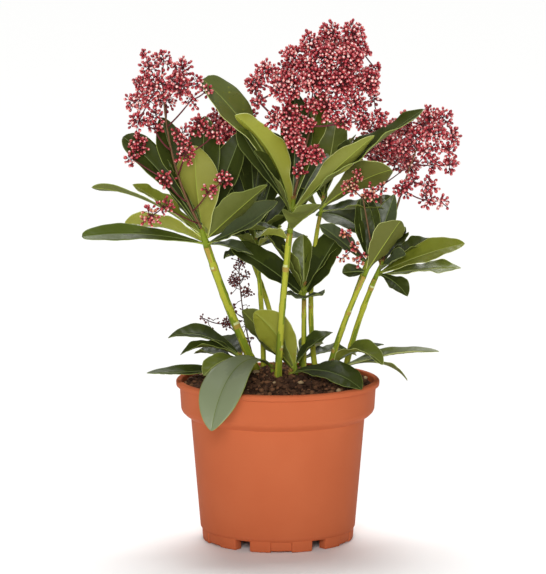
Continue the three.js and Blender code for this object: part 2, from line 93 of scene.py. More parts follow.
# A shoot stands on a stem, or at a place in the soil with a lean. A leaf row gives how far up the shoot it
# starts, its heading, rise, length, width, droop, roll and fold. tones: the finish of each row's leaf, of
# d deep green, g green, k green with a darker lower face, l glossy green, b bronze green, s slate green whose
# grey is a painted sheen, w light grey green that is a painted sheen, y yellow green and o olive.
SHOOTS = {
  "left": {"on": "left", "tall": 14, "tones": "okykykssddddd", "leaves": [
    [2, 212, 76, 68, 32, -16, 8, 15], [1.5, 192, 14, 86, 17, 21, -32, 10], [3, 165, 24, 59, 27, 30, 30, 15],
    [6, 186, 42, 86, 14, 39, -8, 15], [8, 187, 38, 60, 17, 2, -30, 15], [5, 348, 43, 58, 26, 3, -42, 15],
    [1.5, 328, 21, 66, 24, -20, 38, 15], [1.5, 15, 0, 34, 16, 40, 20, 10],
    [7, 176, 61, 88, 24, 23, -50, 15], [10, 150, 66, 84, 24, 0, -20, 15], [10, 85, 80, 80, 24, 0, 0, 15],
    [10, 45, 64, 76, 24, 10, 30, 15], [4, 120, 40, 64, 20, 20, 0, 15],
    ]},
  "front": {"on": "front", "tall": 25, "tones": "lydgkgddddd", "leaves": [
    [16, 180, 66, 108, 33, 24, -50, 12], [12, 196, 80, 82, 22, 46, 40, 40], [16, 2, 40, 112, 25, 6, 15, 20],
    [14, 348, 47, 78, 16, 8, -50, 20], [2, 302, 30, 44, 40, 2, 12, 12], [18, 45, 72, 82, 24, 10, 20, 15],
    [13.5, 150, 56, 70, 26, 10, -20, 15], [11.5, 205, 67, 54, 20, 20, -30, 15],
    [18, 90, 78, 80, 24, 5, 10, 15], [8, 62, 46, 66, 24, 20, 15, 15], [12, 110, 55, 70, 24, 15, -10, 15],
    ]},
  "slim_left": {"on": "slim_left", "tall": 16, "tones": "ddddydddd", "leaves": [
    [14, 160, 66, 84, 26, 10, -35, 15], [14, 100, 74, 78, 24, 10, 10, 15],
    [8, 185, 44, 46, 18, 20, -40, 15], [6, 215, 50, 28, 16, 50, 0, 20], [8, 303, 32, 34, 16, 6, 20, 15],
    [10, 20, 55, 44, 20, 10, 40, 15], [12, 215, 62, 52, 22, 14, -20, 15], [14, 50, 70, 66, 22, 10, 20, 15],
    [4, 175, 10, 24, 16, 40, -20, 15],
    ]},
  "back_left": {"on": "back_left", "tall": 18, "tones": "dddddd", "leaves": [
    [14, 116, 62, 66, 24, 20, -20, 15], [14, 80, 68, 66, 24, 20, 0, 15], [12, 150, 45, 60, 22, 30, -10, 15],
    [12, 95, 56, 48, 22, 35, 0, 15], [8, 60, 42, 44, 20, 40, 0, 15], [8, 130, 34, 46, 20, 40, 0, 15],
    ]},
  "middle": {"on": "middle", "tall": 12, "tones": "ddgds", "leaves": [
    [3, 345, 62, 52, 26, 6, 60, 15], [2, 186, 42, 62, 24, 16, -40, 15], [5, 95, 80, 40, 17, 0, -20, 15],
    [6, 225, 60, 40, 16, 10, -20, 15], [2, 272, 12, 27, 27, 16, 0, 8],
    ]},
  "middle_tall": {"on": "middle_tall", "tall": 14, "tones": "bdgd", "leaves": [
    [6, 334, 39, 60, 27, 24, -45, 15], [12, 20, 66, 50, 20, 10, 0, 15], [12, 76, 62, 66, 27, 16, 0, 15],
    [10, 150, 60, 50, 18, 10, -20, 15],
    ]},
  "right": {"on": "right", "tall": 14, "tones": "sdddsb", "leaves": [
    [8, 189, 41, 45, 16, 5, -40, 12], [3, 195, 8, 17, 12, 20, -60, 15], [8, 150, 80, 46, 17, 0, -40, 15],
    [7, 90, 82, 48, 16, 0, 10, 15], [6, 30, 66, 54, 16, 0, 40, 15], [2, 339, 57, 45, 25, 2, -35, 12],
    ]},
  "far_right": {"on": "far_right", "tall": 14, "tones": "dygdsdd", "leaves": [
    [8, 14, 33, 42, 18, 13, 15, 15], [3, 346, 27, 66, 22, 14, 35, 12], [2, 1, 10, 59, 16, 11, 24, 12],
    [4, 310, -7, 34, 14, 35, 20, 15], [6, 320, 35, 27, 19, 18, 30, 12], [10, 100, 62, 36, 20, 15, 10, 15],
    [8, 71, 30, 54, 20, 25, 0, 15],
    ]},
  "back_right": {"on": "back_right", "tall": 20, "tones": "dddddd", "leaves": [
    [14, 75, 50, 40, 22, 20, 10, 15], [14, 100, 60, 36, 22, 20, 0, 15], [14, 80, 34, 40, 22, 30, 0, 15],
    [12, 80, 54, 42, 22, 35, 0, 15], [10, 150, 40, 52, 26, 44, -35, 15], [13.5, 30, 14, 24, 18, 20, 0, 15],
    ]},
  "low_left": {"at": [-20, 4], "lean": [-0.3, -0.1], "tall": 16, "tones": "dddgddd", "leaves": [
    [13, 162, 36, 58, 19, 54, -15, 12], [11, 182, 38, 46, 15, 79, -10, 12],
    [8, 205, 10, 28, 14, 30, -10, 12], [11, 227, 16, 40, 17, 62, -15, 12], [3, 191, 3, 69, 14, 8, -20, 12],
    [10, 110, 20, 62, 18, 30, 0, 12], [6, 150, 26, 42, 18, 40, 0, 12],
    ]},
  "low_middle": {"at": [13, 1], "lean": [-0.1, 0.1], "tall": 14, "tones": "ykd", "leaves": [
    [4, 180, 67, 49, 26, 30, 70, 12], [2, 166, 49, 56, 27, 4, 60, 12], [6, 22, 52, 36, 18, 34, 0, 12],
    ]},
  "low_right": {"at": [35, -5], "lean": [0.2, 0.1], "tall": 14, "tones": "ggdd", "leaves": [
    [8, 318, 52, 51, 19, 106, 10, 25], [4, 0, 26, 76, 16, 38, 14, 12], [10, 36, 26, 45, 12, 37, 5, 12],
    [3, 11, 30, 60, 10, 85, 0, 12],
    ]},
  "low_back": {"at": [16, 40], "lean": [0, 0.2], "tall": 10, "tones": "ddd", "leaves": [
    [8, 75, 24, 42, 18, 50, 0, 12], [8, 120, 24, 43, 18, 50, 0, 12], [6, 35, 16, 50, 18, 40, 0, 12],
    ]},
  "rim_left": {"at": [-3, 6], "lean": [-0.1, 0], "tall": 6, "tones": "w", "leaves": [
    [4, 246, 26, 117, 29, 97, -8, 12],
    ]},
  "rim_right": {"at": [8, -7], "lean": [0.1, 0], "tall": 4, "tones": "d", "leaves": [
    [2, 322, 17, 63, 26, 50, 20, 12],
    ]},
}

# A head stands on a shoot, or at a place in the soil. stalk: from there to its start. tip: from its start to
# the end of its axis. bow: as a stem's. A knot of buds has its middle, from the start, and its radius.
FLOWERS = {
  "left": {"on": "left", "stalk": [1, 1, 0], "tip": [-27, 3, 108], "bow": [-6, 0, -6], "knots": [
    [-26, 2, 113, 7], [-35, -6, 108, 7], [-14, 4, 107, 7], [-41, 2, 97, 7], [-30, -12, 97, 9],
    [-16, -10, 97, 9], [-3, -6, 98, 6], [-44, -4, 85, 7], [-35, -14, 87, 6], [-7, -6, 87, 6],
    [-25, 12, 85, 8], [-36, 14, 95, 8], [-17, 17, 96, 8], [-42, -8, 73, 7], [-32, -4, 67, 5],
    [-14, -10, 64, 7], [-2, 2, 68, 7], [9, -4, 64, 7], [18, 8, 65, 4], [-43, 0, 56, 7],
    [-47, -6, 47, 5], [-24, -8, 33, 6], [-25, -24, 17, 6], [-34, -31, 11, 6], [5, -12, 26, 5],
    [14, -10, 33, 6], [-38, 2, 117, 4], [3, -6, 93, 5], [-31, 0, 75, 6], [-11, -12, 51, 7],
    ]},
  "top": {"on": "front", "stalk": [2, 2, 2], "tip": [26, 8, 104], "bow": [-2, 0, -4], "knots": [
    [23, 2, 107, 8], [9, -4, 100, 8], [37, 4, 107, 8], [-2, 2, 91, 8], [18, -12, 92, 10], [34, -12, 91, 10],
    [43, 6, 96, 7], [-5, -10, 74, 9], [12, -18, 76, 10], [29, -20, 75, 10], [47, -8, 74, 9],
    [9, -14, 60, 6], [21, -16, 59, 9], [39, -10, 60, 8], [52, 4, 63, 5], [-29, 4, 73, 7], [-21, -4, 82, 7],
    [-12, -8, 70, 8], [-26, -6, 62, 5], [-9, 6, 79, 8], [-14, -8, 50, 7], [-4, -10, 41, 7],
    [-6, -14, 53, 8], [6, -16, 47, 6], [-1, -14, 34, 6], [5, -8, 27, 6], [12, -16, 27, 6], [2, -2, 15, 5],
    [55, -8, 51, 6], [43, -6, 50, 7], [20, 24, 97, 9], [36, 26, 93, 9], [10, 26, 75, 9], [30, 21, 76, 10],
    [47, 18, 75, 8], [31, -12, 49, 6], [5, -8, 85, 7], [53, 4, 83, 4],
    ]},
  "right": {"on": "far_right", "stalk": [4, 0, 30], "tip": [24, -2, 62], "bow": [-3, 0, -3], "knots": [
    [11, -6, 65, 7], [26, -2, 69, 7], [36, 2, 67, 7], [43, -2, 55, 6], [30, -12, 58, 8], [17, -12, 56, 7],
    [25, 12, 60, 8], [12, 10, 58, 7], [-13, -14, 52, 6], [-1, -12, 52, 7], [9, -6, 47, 6], [9, -4, 19, 6],
    [16, -8, 25, 5], [26, 0, 11, 6], [35, -2, 11, 5], [41, 2, 35, 6], [29, 6, 35, 6], [26, -8, 46, 7],
    [40, -4, 45, 6], [12, 2, 37, 5], [26, -6, 22, 6], [1, -8, 62, 5], [39, -2, 7, 3],
    ]},
  "small": {"on": "right", "stalk": [-6, -6, 0], "tip": [-2, -6, 44], "bow": [0, 0, 0], "knots": [
    [-9, -7, 49, 6], [3, -9, 45, 6], [11, -5, 48, 4], [-5, -3, 56, 4], [-13, -4, 17, 4], [-7, -4, 8, 4],
    [-2, 0, 2, 3], [-14, -4, 1, 4], [-4, -1, -3, 4],
    ]},
  "back_left": {"on": "back_left", "stalk": [0, 0, 0], "tip": [-2, 6, 66], "bow": [0, 0, 0], "knots": [
    [-12, 4, 74, 9], [4, 6, 76, 9], [-4, 18, 70, 9], [-18, 12, 62, 9], [12, 14, 62, 9],
    [-4, -6, 66, 8], [-24, 0, 54, 8], [16, 8, 54, 8], [0, 24, 56, 8], [-14, 20, 50, 8],
    [10, 18, 46, 7], [-8, 8, 40, 6],
    ]},
  "back_right": {"on": "back_right", "stalk": [0, 0, 0], "tip": [2, 4, 58], "bow": [0, 0, 0], "knots": [
    [-4, 2, 66, 8], [10, 4, 66, 8], [2, 14, 62, 8], [-12, 8, 54, 8], [18, 10, 54, 8],
    [4, -8, 56, 8], [-2, 20, 46, 7], [12, 20, 44, 7], [20, -4, 44, 7],
    ]},
  "dried": {"at": [-13, 26], "stalk": [0, 0, 0], "tip": [-14, 0, 74], "bow": [-3, 0, 0], "knots": [
    [-17, -2, 63, 4], [-22, -3, 33, 4], [-8, 2, 55, 4], [-19, -2, 43, 4], [-12, 0, 76, 4], [-38, -6, 37, 3],
    [-9, 3, 66, 3],
    ]},
}

# Smaller leaves between the large ones, within the reach of each mass: their rows and tones.
YOUNG_LEAVES = {
    "front": ([[-5, 205, 32, 26, 17, 60, 20, 12], [-2, 150, 12, 40, 18, 20, 0, 12]], "gd"),
    "middle": ([[6, 0, 56, 44, 24, 10, 10, 12], [5, 200, 60, 54, 26, 10, -20, 12]], "dd"),
    "middle_tall": ([[4, 200, 40, 44, 20, 20, 0, 12], [3, 355, 8, 44, 22, 10, 10, 12]], "dd"),
    "back_left": ([[4, 330, 40, 52, 24, 20, 0, 12], [2, 20, 20, 46, 22, 20, 0, 12]], "dd"),
}


# ---- colours and materials ----
def linear(hex_colour):
    """An sRGB hex colour as the linear values that a shader reads."""
    parts = [int(hex_colour[i:i + 2], 16) / 255 for i in (1, 3, 5)]
    return [p / 12.92 if p <= 0.04045 else ((p + 0.055) / 1.055) ** 2.4 for p in parts] + [1.0]


def add_node(material, kind, settings=None, links=None):
    """Adds a shader node: settings go to sockets or properties, links join its inputs to other outputs."""
    node = material.node_tree.nodes.new(kind)
    for name, value in (settings or {}).items():
        if name in node.inputs:
            node.inputs[name].default_value = value
        else:
            setattr(node, name, value)
    for name, output in (links or {}).items():
        material.node_tree.links.new(output, node.inputs[name])
    return node


def new_material(name, colour, roughness, ior=1.45):
    """A material with one Principled shader in a plain colour, and the shader itself."""
    material = bpy.data.materials.new(name)
    material.use_nodes = True
    shader = material.node_tree.nodes["Principled BSDF"]
    shader.inputs["Base Color"].default_value = linear(colour)
    shader.inputs["Roughness"].default_value = roughness
    shader.inputs["IOR"].default_value = ior
    material.diffuse_color = linear(colour)
    return material, shader


def mottle(material, shader, size_mm, roughness, depth_mm, strength):
    """Uneven gloss and a low relief with the given grain size, read from the piece's own place."""
    links = material.node_tree.links
    place = add_node(material, "ShaderNodeTexCoord")
    grain = add_node(material, "ShaderNodeTexNoise",
                     {"Scale": 1000 / size_mm, "Detail": 4.0, "Roughness": 0.6},
                     {"Vector": place.outputs["Object"]})
    gloss = add_node(material, "ShaderNodeMapRange",
                     {"From Min": 0.3, "From Max": 0.7, "To Min": roughness[0], "To Max": roughness[1]},
                     {"Value": grain.outputs["Fac"]})
    links.new(gloss.outputs["Result"], shader.inputs["Roughness"])
    relief = add_node(material, "ShaderNodeBump", {"Strength": strength, "Distance": depth_mm * MM},
                      {"Height": grain.outputs["Fac"]})
    links.new(relief.outputs["Normal"], shader.inputs["Normal"])


def leaf_material(name, colour, roughness, specular=0.3, coat=0.0, pitting=0.25):
    """A leathery plant skin: uneven gloss, with the fine pitting of its pores."""
    material, shader = new_material(name, colour, roughness[0])
    mottle(material, shader, size_mm=2.2, roughness=roughness, depth_mm=0.08, strength=pitting)
    shader.inputs["Specular IOR Level"].default_value = specular
    shader.inputs["Coat Weight"].default_value = coat
    shader.inputs["Coat Roughness"].default_value = 0.3
    return material


# The upper face of each tone of leaf, with a thin wax layer that takes a soft light: its name, roughness
# and pitting, then colour, specular and coat of the face itself and of the fresher green that clouds it.
UPPER_FACES = {
    "d": ("deep_green", (0.34, 0.48), 0.25, ("#2f3714", 0.18, 0.02), ("#394216", 0.18, 0.02)),
    "g": ("green", (0.34, 0.48), 0.25, ("#56601f", 0.35, 0.1), ("#5f6922", 0.35, 0.1)),
    "k": ("mid_green", (0.34, 0.48), 0.25, ("#434d1a", 0.18, 0.02), ("#4f5c1d", 0.2, 0.03)),
    "b": ("bronze_green", (0.42, 0.56), 0.25, ("#59541b", 0.3, 0.0), ("#615d1e", 0.25, 0.0)),
    # s: the grey of this green is a painted sheen.
    "s": ("slate_green", (0.34, 0.46), 0.25, ("#444d32", 0.3, 0.08), ("#4b5436", 0.3, 0.08)),
    "y": ("yellow_green", (0.38, 0.52), 0.25, ("#6a7120", 0.35, 0.08), ("#727923", 0.35, 0.08)),
    "o": ("olive", (0.42, 0.56), 0.25, ("#7c7f2c", 0.3, 0.0), ("#848730", 0.3, 0.0)),
    # w: a light grey green in both shades, a painted sheen.
    "w": ("grey_bloom", (0.36, 0.48), 0.25, ("#788260", 0.5, 0.2), ("#7e8866", 0.5, 0.2)),
    "l": ("glossy_green", (0.27, 0.31), 0.0, ("#4f5922", 1.0, 0.5), ("#586226", 1.0, 0.5)),
}
# Lower faces are matte and paler; midribs, margins and stalks are paler still.
MATERIALS = {
    "d_under": leaf_material("leaf_lower_dull_green", "#5f6527", (0.55, 0.7)),
    "g_under": leaf_material("leaf_lower_green", "#7a7e30", (0.55, 0.7)),
    "b_under": leaf_material("leaf_lower_bronze_green", "#5f6226", (0.55, 0.7)),
    "s_under": leaf_material("leaf_lower_grey_green", "#6c7143", (0.55, 0.7)),
    "y_under": leaf_material("leaf_lower_yellow_green", "#8b8d2c", (0.5, 0.65)),
    "o_under": leaf_material("leaf_lower_olive", "#858634", (0.55, 0.7)),
    "rib": leaf_material("leaf_midrib_pale", "#98a055", (0.45, 0.6)),
    "rib_dark": leaf_material("leaf_midrib_green", "#6d7a41", (0.45, 0.6)),
    "margin": leaf_material("leaf_margin_pale", "#c0c67c", (0.45, 0.6)),
    "margin_dark": leaf_material("leaf_margin_green", "#8c984a", (0.45, 0.6)),
    "petiole": leaf_material("leaf_stalk", "#8f9a38", (0.42, 0.55)),
}
for tone, (face, gloss, pitting, *shades) in UPPER_FACES.items():
    for end, mark, (colour, specular, coat) in zip(("", "_fair"), ("", "_fresh"), shades):
        name = "leaf_upper_" + face + mark
        MATERIALS[tone + end] = leaf_material(name, colour, gloss, specular, coat, pitting)
# Tones with a darker midrib and margin, and those with another tone's lower face.
DARK_TONES = "dskw"
OTHER_UNDERS = {"k": "d", "w": "s", "l": "g"}


def leaf_finishes(tone):
    """The finishes of a leaf: its upper face, the fresher green that clouds it, and its lower face."""
    return tone, tone + "_fair", OTHER_UNDERS.get(tone, tone) + "_under"


# ---- joined meshes of many small things ----
class Heap:
    """Corners and faces of many small things, gathered in millimetres and made into one mesh."""

    def __init__(self):
        self.corners = []
        self.faces = []
        self.finish = []
        self.count = 0

    def add(self, corners, faces, finish):
        """faces are rows of four corner numbers, with -1 last for a triangle."""
        faces = np.asarray(faces)
        self.corners.append(np.asarray(corners, float).reshape(-1, 3))
        self.faces.append(np.where(faces < 0, -1, faces + self.count))
        self.finish.append(np.asarray(finish))
        self.count += len(self.corners[-1])

    def make(self, name, materials):
        faces = np.concatenate(self.faces)
        mesh = bpy.data.meshes.new(name)
        corners = np.concatenate(self.corners) * MM
        mesh.vertices.add(len(corners))
        mesh.vertices.foreach_set("co", corners.ravel())
        used = faces >= 0
        sizes = used.sum(1)
        mesh.loops.add(int(sizes.sum()))
        mesh.loops.foreach_set("vertex_index", faces[used])
        mesh.polygons.add(len(faces))
        mesh.polygons.foreach_set("loop_start", np.concatenate([[0], np.cumsum(sizes)[:-1]]))
        mesh.polygons.foreach_set("material_index", np.concatenate(self.finish))
        mesh.polygons.foreach_set("use_smooth", np.ones(len(faces), bool))
        for material in materials:
            mesh.materials.append(material)
        mesh.update(calc_edges=True)
        mesh.validate()
        return new_object(name, mesh)


def new_object(name, data):
    made = bpy.data.objects.new(name, data)
    bpy.context.scene.collection.objects.link(made)
    return made


def smooth_mesh(bm, name, materials=()):
    """The bmesh as a smooth-shaded mesh with its finishes."""
    for face in bm.faces:
        face.smooth = True
    mesh = bpy.data.meshes.new(name)
    bm.to_mesh(mesh)
    bm.free()
    for material in materials:
        mesh.materials.append(material)
    return mesh


def fit(piece, slot, *nodes):
    """The piece rides on the plant and stands for the nodes. The slot is not used."""
    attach(piece, "root")
    if nodes:
        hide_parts(*nodes)


def ring_faces(rings, sides):
    """Faces of a closed tube: rings of corners, then one corner at each end."""
    j = np.arange(sides)
    k = (j + 1) % sides
    none = np.full(sides, -1)
    last = (rings - 1) * sides
    end = rings * sides
    walls = [low + np.stack([j, k, sides + k, sides + j], 1) for low in range(0, last, sides)]
    low_cap = np.stack([k, j, np.full(sides, end), none], 1)
    high_cap = np.stack([last + j, last + k, np.full(sides, end + 1), none], 1)
    return np.concatenate([*walls, low_cap, high_cap])


def unit(vector):
    return vector / np.linalg.norm(vector)


def taper(ends, t):
    return ends[0] + (ends[1] - ends[0]) * t


def frame_of(along):
    """Two directions square to the given one."""
    along = unit(along)
    helper = np.array([0.0, 1.0, 0.0]) if abs(along[1]) < 0.9 else np.array([1.0, 0.0, 0.0])
    side = unit(np.cross(helper, along))
    return side, np.cross(along, side)


def add_twig(heap, points, radii, sides, finish):
    """A tapering twig through the points, closed at both ends."""
    points = np.asarray(points, float)
    turn = np.arange(sides) * 2 * np.pi / sides
    corners = []
    for i, point in enumerate(points):
        along = points[min(i + 1, len(points) - 1)] - points[max(i - 1, 0)]
        side, front = frame_of(along)
        ring = np.outer(np.cos(turn), side) + np.outer(np.sin(turn), front)
        corners.append(point + radii[i] * ring)
    faces = ring_faces(len(points), sides)
    heap.add(np.concatenate([*corners, points[:1], points[-1:]]), faces, np.full(len(faces), finish))


# ---- where stems and shoots run: the same rules as the solids ----
def soil_height(x, y):
    return SOIL_EDGE + SOIL_RISE * (1 - (x * x + y * y) / (SOIL_R * SOIL_R))


def planted(x, y):
    """The sunk foot of what grows out of the soil here."""
    return np.array([x, y, soil_height(x, y) - SUNK])


def bowed(foot, bow, top):
    """A quadratic curve from foot to top, as a function of its share t."""
    control = (foot + top) / 2 + 2 * bow

    def at(t):
        return (1 - t) ** 2 * foot + 2 * t * (1 - t) * control + t * t * top

    def tangent(t):
        return unit(2 * (1 - t) * (control - foot) + 2 * t * (top - control))

    return at, tangent


def stem_line(stem):
    return bowed(planted(*stem["foot"]), np.array([*stem["bow"], 0.0]), np.array(stem["top"], float))


def shoot_line(shoot):
    """Foot, start of the leaves, tip and direction of a shoot."""
    if "at" in shoot:
        foot = planted(*shoot["at"])
        lean = unit(np.array([*shoot["lean"], 1.0]))
        start = foot + lean * SUNK
        return foot, start, start + lean * shoot["tall"], lean
    at, tangent = stem_line(STEMS[shoot["on"]])
    lean = tangent(1.0)
    foot = at(1.0) + lean * GAP
    return foot, foot, foot + lean * shoot["tall"], lean


# ---- leaves ----
# Rings of corners along a leaf, and strides along its middle line up to each.
LEAF_STEPS = 40
STRIDES = 24
# Shares of a leaf's length: the ends of its narrow stalk and of the stalk's finish; where its twist, its
# lift and the fresher green begin; the last ring of corners, and the tip's way past it.
STALK_END, PETIOLE_END = 0.05, 0.06
TWIST_FROM, LIFT_FROM, FRESH_FROM = 0.3, 0.55, 0.66
LAST_RING, TIP_OUT = 0.992, 0.008
# How much the fresher green follows the tip, the margins and chance, and the grain of its clouds: mm along
# the leaf, and lines of corners across it.
FRESH_BY = (0.8, 0.2, 0.1)
CLOUD_GRAIN = (9, 3)
# The stalk's width, as a share of the blade's; a half midrib and a margin at their widest; the hollow over
# the midrib and the keel under it; the veins, all in mm.
STALK_WIDE = 0.12
RIB_WIDE, MARGIN_WIDE = 0.55, 0.34
GROOVE, KEEL = 0.22, 0.5
VEIN_PITCH, VEIN_DEPTH = 6.5, 0.28
# Lines of corners between midrib and margin, and the thickness at every line, as shares. A blade's
# thickness as a share of its length, and what the stalk adds to half of it, in mm.
LINE_SHARES = (0.2, 0.42, 0.64, 0.85)
THICK_SHARES = (1.0, 1.0, 0.95, 0.9, 0.85, 0.8, 0.75, 0.0)
THICK_TO_LONG, STALK_THICK = 0.011, 0.55
# Half widths, in mm, under which a narrow blade loses its midrib's relief, quilting, curl and waves.
NARROW = {"midrib": 5, "quilt": 6, "cup": 7, "wave": 8}

# Leaves with an outline or a curl of their own, by shoot and row. belly: where a leaf is widest, as a share
# of its length. blunt and full: lower is rounder at the tip and at the base. wave: the height of its
# margin's waves, mm, and waves: their number. twist: from stalk to tip, degrees. cup: how far each half
# curls up toward its margin, degrees. fold: what it adds to the row's fold. quilt: its veins' relief, mm.
LEAF_SHAPES = {
    "front": {
        0: dict(belly=0.8, blunt=0.46, full=0.9, wave=1.0, twist=14, cup=(16, -8), quilt=0.6),
        1: dict(belly=0.62, blunt=0.7, wave=2.8, waves=2.2, twist=10, cup=(10, 25)),
        2: dict(belly=0.6, blunt=0.7, wave=2.2, cup=(10, 10)),
        3: dict(belly=0.6, blunt=0.75, wave=2.2, waves=1.7, twist=-10, cup=(18, 18)),
        4: dict(belly=0.68, blunt=0.4, wave=3.4, waves=1.7, cup=(40, 30)),
    },
    "left": {
        0: dict(belly=0.6, blunt=0.7, wave=0.6, twist=60, cup=(4, 4), fold=-6),
        1: dict(belly=0.72, blunt=0.42, full=0.42, wave=0.5, twist=-4, cup=(10, 16)),
        2: dict(belly=0.62, blunt=0.6, full=0.45, wave=0.8, cup=(6, 10)),
        3: dict(belly=0.82, blunt=0.7, full=0.6, wave=0.6, twist=45, cup=(5, 5)),
        5: dict(belly=0.42, blunt=0.8, wave=1.4, twist=6, cup=(20, 20)),
        6: dict(belly=0.64, blunt=0.75, wave=1.0, twist=10, cup=(15, 20)),
        8: dict(belly=0.78, blunt=0.55, wave=0.8, twist=5, cup=(10, 20)),
    },
    "middle": {
        0: dict(belly=0.62, blunt=0.5, full=0.42, wave=1.2, cup=(-4, 6)),
        1: dict(belly=0.6, blunt=0.5, full=0.5, wave=1.0, cup=(10, 14)),
    },
    "middle_tall": {
        0: dict(belly=0.7, blunt=0.6, wave=1.2, cup=(14, 14)),
    },
    "far_right": {
        1: dict(belly=0.62, blunt=0.7, wave=0.8, twist=5, cup=(12, 12)),
        2: dict(belly=0.66, blunt=0.75, wave=1.6, cup=(12, 20)),
        3: dict(belly=0.66, blunt=0.9, wave=1.2, cup=(10, 10)),
    },
    "right": {
        5: dict(belly=0.68, blunt=0.6, wave=1.0, cup=(10, 10)),
    },
    "low_middle": {
        0: dict(belly=0.6, blunt=0.65, wave=0.8, cup=(8, 8), fold=-6),
        1: dict(belly=0.62, blunt=0.6, wave=1.0, cup=(8, 14)),
    },
    "rim_left": {
        0: dict(belly=0.72, blunt=0.72, wave=0.5, cup=(-10, 4)),
    },
    "rim_right": {
        0: dict(belly=0.6, blunt=0.72, wave=0.8, cup=(-8, 8)),
    },
}


def leaf_width(s, shape):
    """Half width of a leaf as a share of its widest half width: narrow stalk, short blunt tip."""
    u = np.clip((s - STALK_END) / (1 - STALK_END), 0, 1)
    power = math.log(0.5) / math.log(shape["belly"])
    roundness = np.where(u < shape["belly"], shape["full"], shape["blunt"])
    body = STALK_WIDE * (1 - u) + 0.97 * np.maximum(0, np.sin(np.pi * u ** power)) ** roundness
    return np.where(s < STALK_END, STALK_WIDE, body)


def leaf_heading(row, s):
    rise = np.radians(row[2] - row[5] * s ** 1.3)
    turn = math.radians(row[1])
    return np.stack([np.cos(rise) * math.cos(turn), np.cos(rise) * math.sin(turn), np.sin(rise)], -1)


def leaf_middle(root, row, s):
    strides = s[:, None] * (np.arange(STRIDES) + 0.5) / STRIDES
    return root + leaf_heading(row, strides).sum(1) * (row[3] * s / STRIDES)[:, None]


def leaf_shape(rng, own):
    """The outline and curl of a leaf: its own where it has one, else a little different every time."""
    curl = rng.uniform(4, 22)
    usual = {
        "belly": rng.uniform(0.6, 0.7),
        "blunt": rng.uniform(0.62, 0.82),
        "full": rng.uniform(0.6, 0.8),
        "wave": rng.uniform(0.5, 1.5),
        "waves": rng.uniform(1.6, 2.8),
        "twist": rng.uniform(-16, 16),
        "cup": (curl + rng.uniform(-6, 6), curl + rng.uniform(-6, 6)),
        "fold": rng.uniform(0, 10),
        "lift": rng.uniform(-10, 16),
        "sway": rng.uniform(-0.04, 0.04),
        "quilt": VEIN_DEPTH,
    }
    plain = {"twist": 0, "fold": 0, "lift": 0, "sway": 0} if own else {}
    return {**usual, **plain, **own}


def leaf_spine(root, row, shape, s):
    """The middle line of a leaf, and the directions along it, to its side and up."""
    along = leaf_heading(row, s)
    turn = math.radians(row[1])
    level = np.array([-math.sin(turn), math.cos(turn), 0.0])
    over = np.cross(along, level)
    twisted = shape["twist"] * np.maximum(0, s - TWIST_FROM) / (1 - TWIST_FROM)
    turned = np.radians(row[6] + twisted)[:, None]
    side = level * np.cos(turned) + over * np.sin(turned)
    up = np.cross(along, side)
    swayed = shape["sway"] * row[3] * np.sin(np.pi * s) * s
    lifted = np.radians(shape["lift"]) * np.maximum(0, s - LIFT_FROM) ** 2 * row[3]
    middle = leaf_middle(root, row, s) + side * swayed[:, None] + up * lifted[:, None]
    return middle, along, side, up


def leaf_lines(s, half):
    """How far from the midrib each line of corners of a half leaf runs."""
    rib = np.minimum(RIB_WIDE - 0.38 * s, 0.4 * half)
    blade = half - np.minimum(MARGIN_WIDE, 0.3 * half)
    between = [rib + (blade - rib) * share for share in LINE_SHARES]
    return np.stack([np.zeros_like(s), rib, *between, blade, half], 1)


def half_leaf(hand, cup, lines, s, row, shape, phase):
    """How far out and how high each line of one half runs: folded, cupped, quilted and waved."""
    half = lines[:, -1:]
    share = lines / np.maximum(half, 1e-6)
    opened = (row[7] + shape["fold"]) * (1.25 - 0.5 * s)[:, None] * np.minimum(1, share * 5)
    lean = np.radians(opened + cup * share ** 1.5 * np.minimum(1, half / NARROW["cup"]))
    lean = (lean[:, 1:] + lean[:, :-1]) / 2
    step = np.diff(lines, axis=1)
    none = np.zeros((len(s), 1))
    spread = np.concatenate([none, np.cumsum(step * np.cos(lean), 1)], 1)
    rise = np.concatenate([none, np.cumsum(step * np.sin(lean), 1)], 1)
    vein = np.cos(2 * np.pi * (s[:, None] * row[3] - lines * 0.9) / VEIN_PITCH)
    quilt = shape["quilt"] * vein * 4 * share * (1 - share) * np.minimum(1, half / NARROW["quilt"])
    heave = shape["wave"] * np.sin(2 * np.pi * shape["waves"] * s + phase + 1.3 * hand)
    heave += 0.3 * shape["wave"] * np.sin(2 * np.pi * 2.7 * shape["waves"] * s + 2 * phase)
    rise += quilt + heave[:, None] * np.minimum(1, half / NARROW["wave"]) * share ** 2
    return spread, rise


def leaf_faces_finish(s, length, last, tones, phase):
    """The finish of each face of a leaf with the given number of its outermost line."""
    top, fair, under, rib, margin, petiole = tones

    def across(blade, middle):
        return [margin] + [blade] * (last - 2) + [middle] * 2 + [blade] * (last - 2) + [margin]

    around = np.array(across(top, rib) + across(under, petiole))
    finish = np.tile(around, (len(s) - 1, 1))
    for i, j in np.argwhere(finish == top):
        place = Vector((s[i] * length / CLOUD_GRAIN[0], (j - last) / CLOUD_GRAIN[1], phase * 7))
        signs = (s[i] - FRESH_FROM, abs(j - last + 0.5) / last, noise.noise(place))
        if sum(weight * sign for weight, sign in zip(FRESH_BY, signs)) > 0:
            finish[i, j] = fair
    finish[s[:-1] < PETIOLE_END] = petiole
    return np.concatenate([finish.ravel(), np.full(len(around), petiole), around])


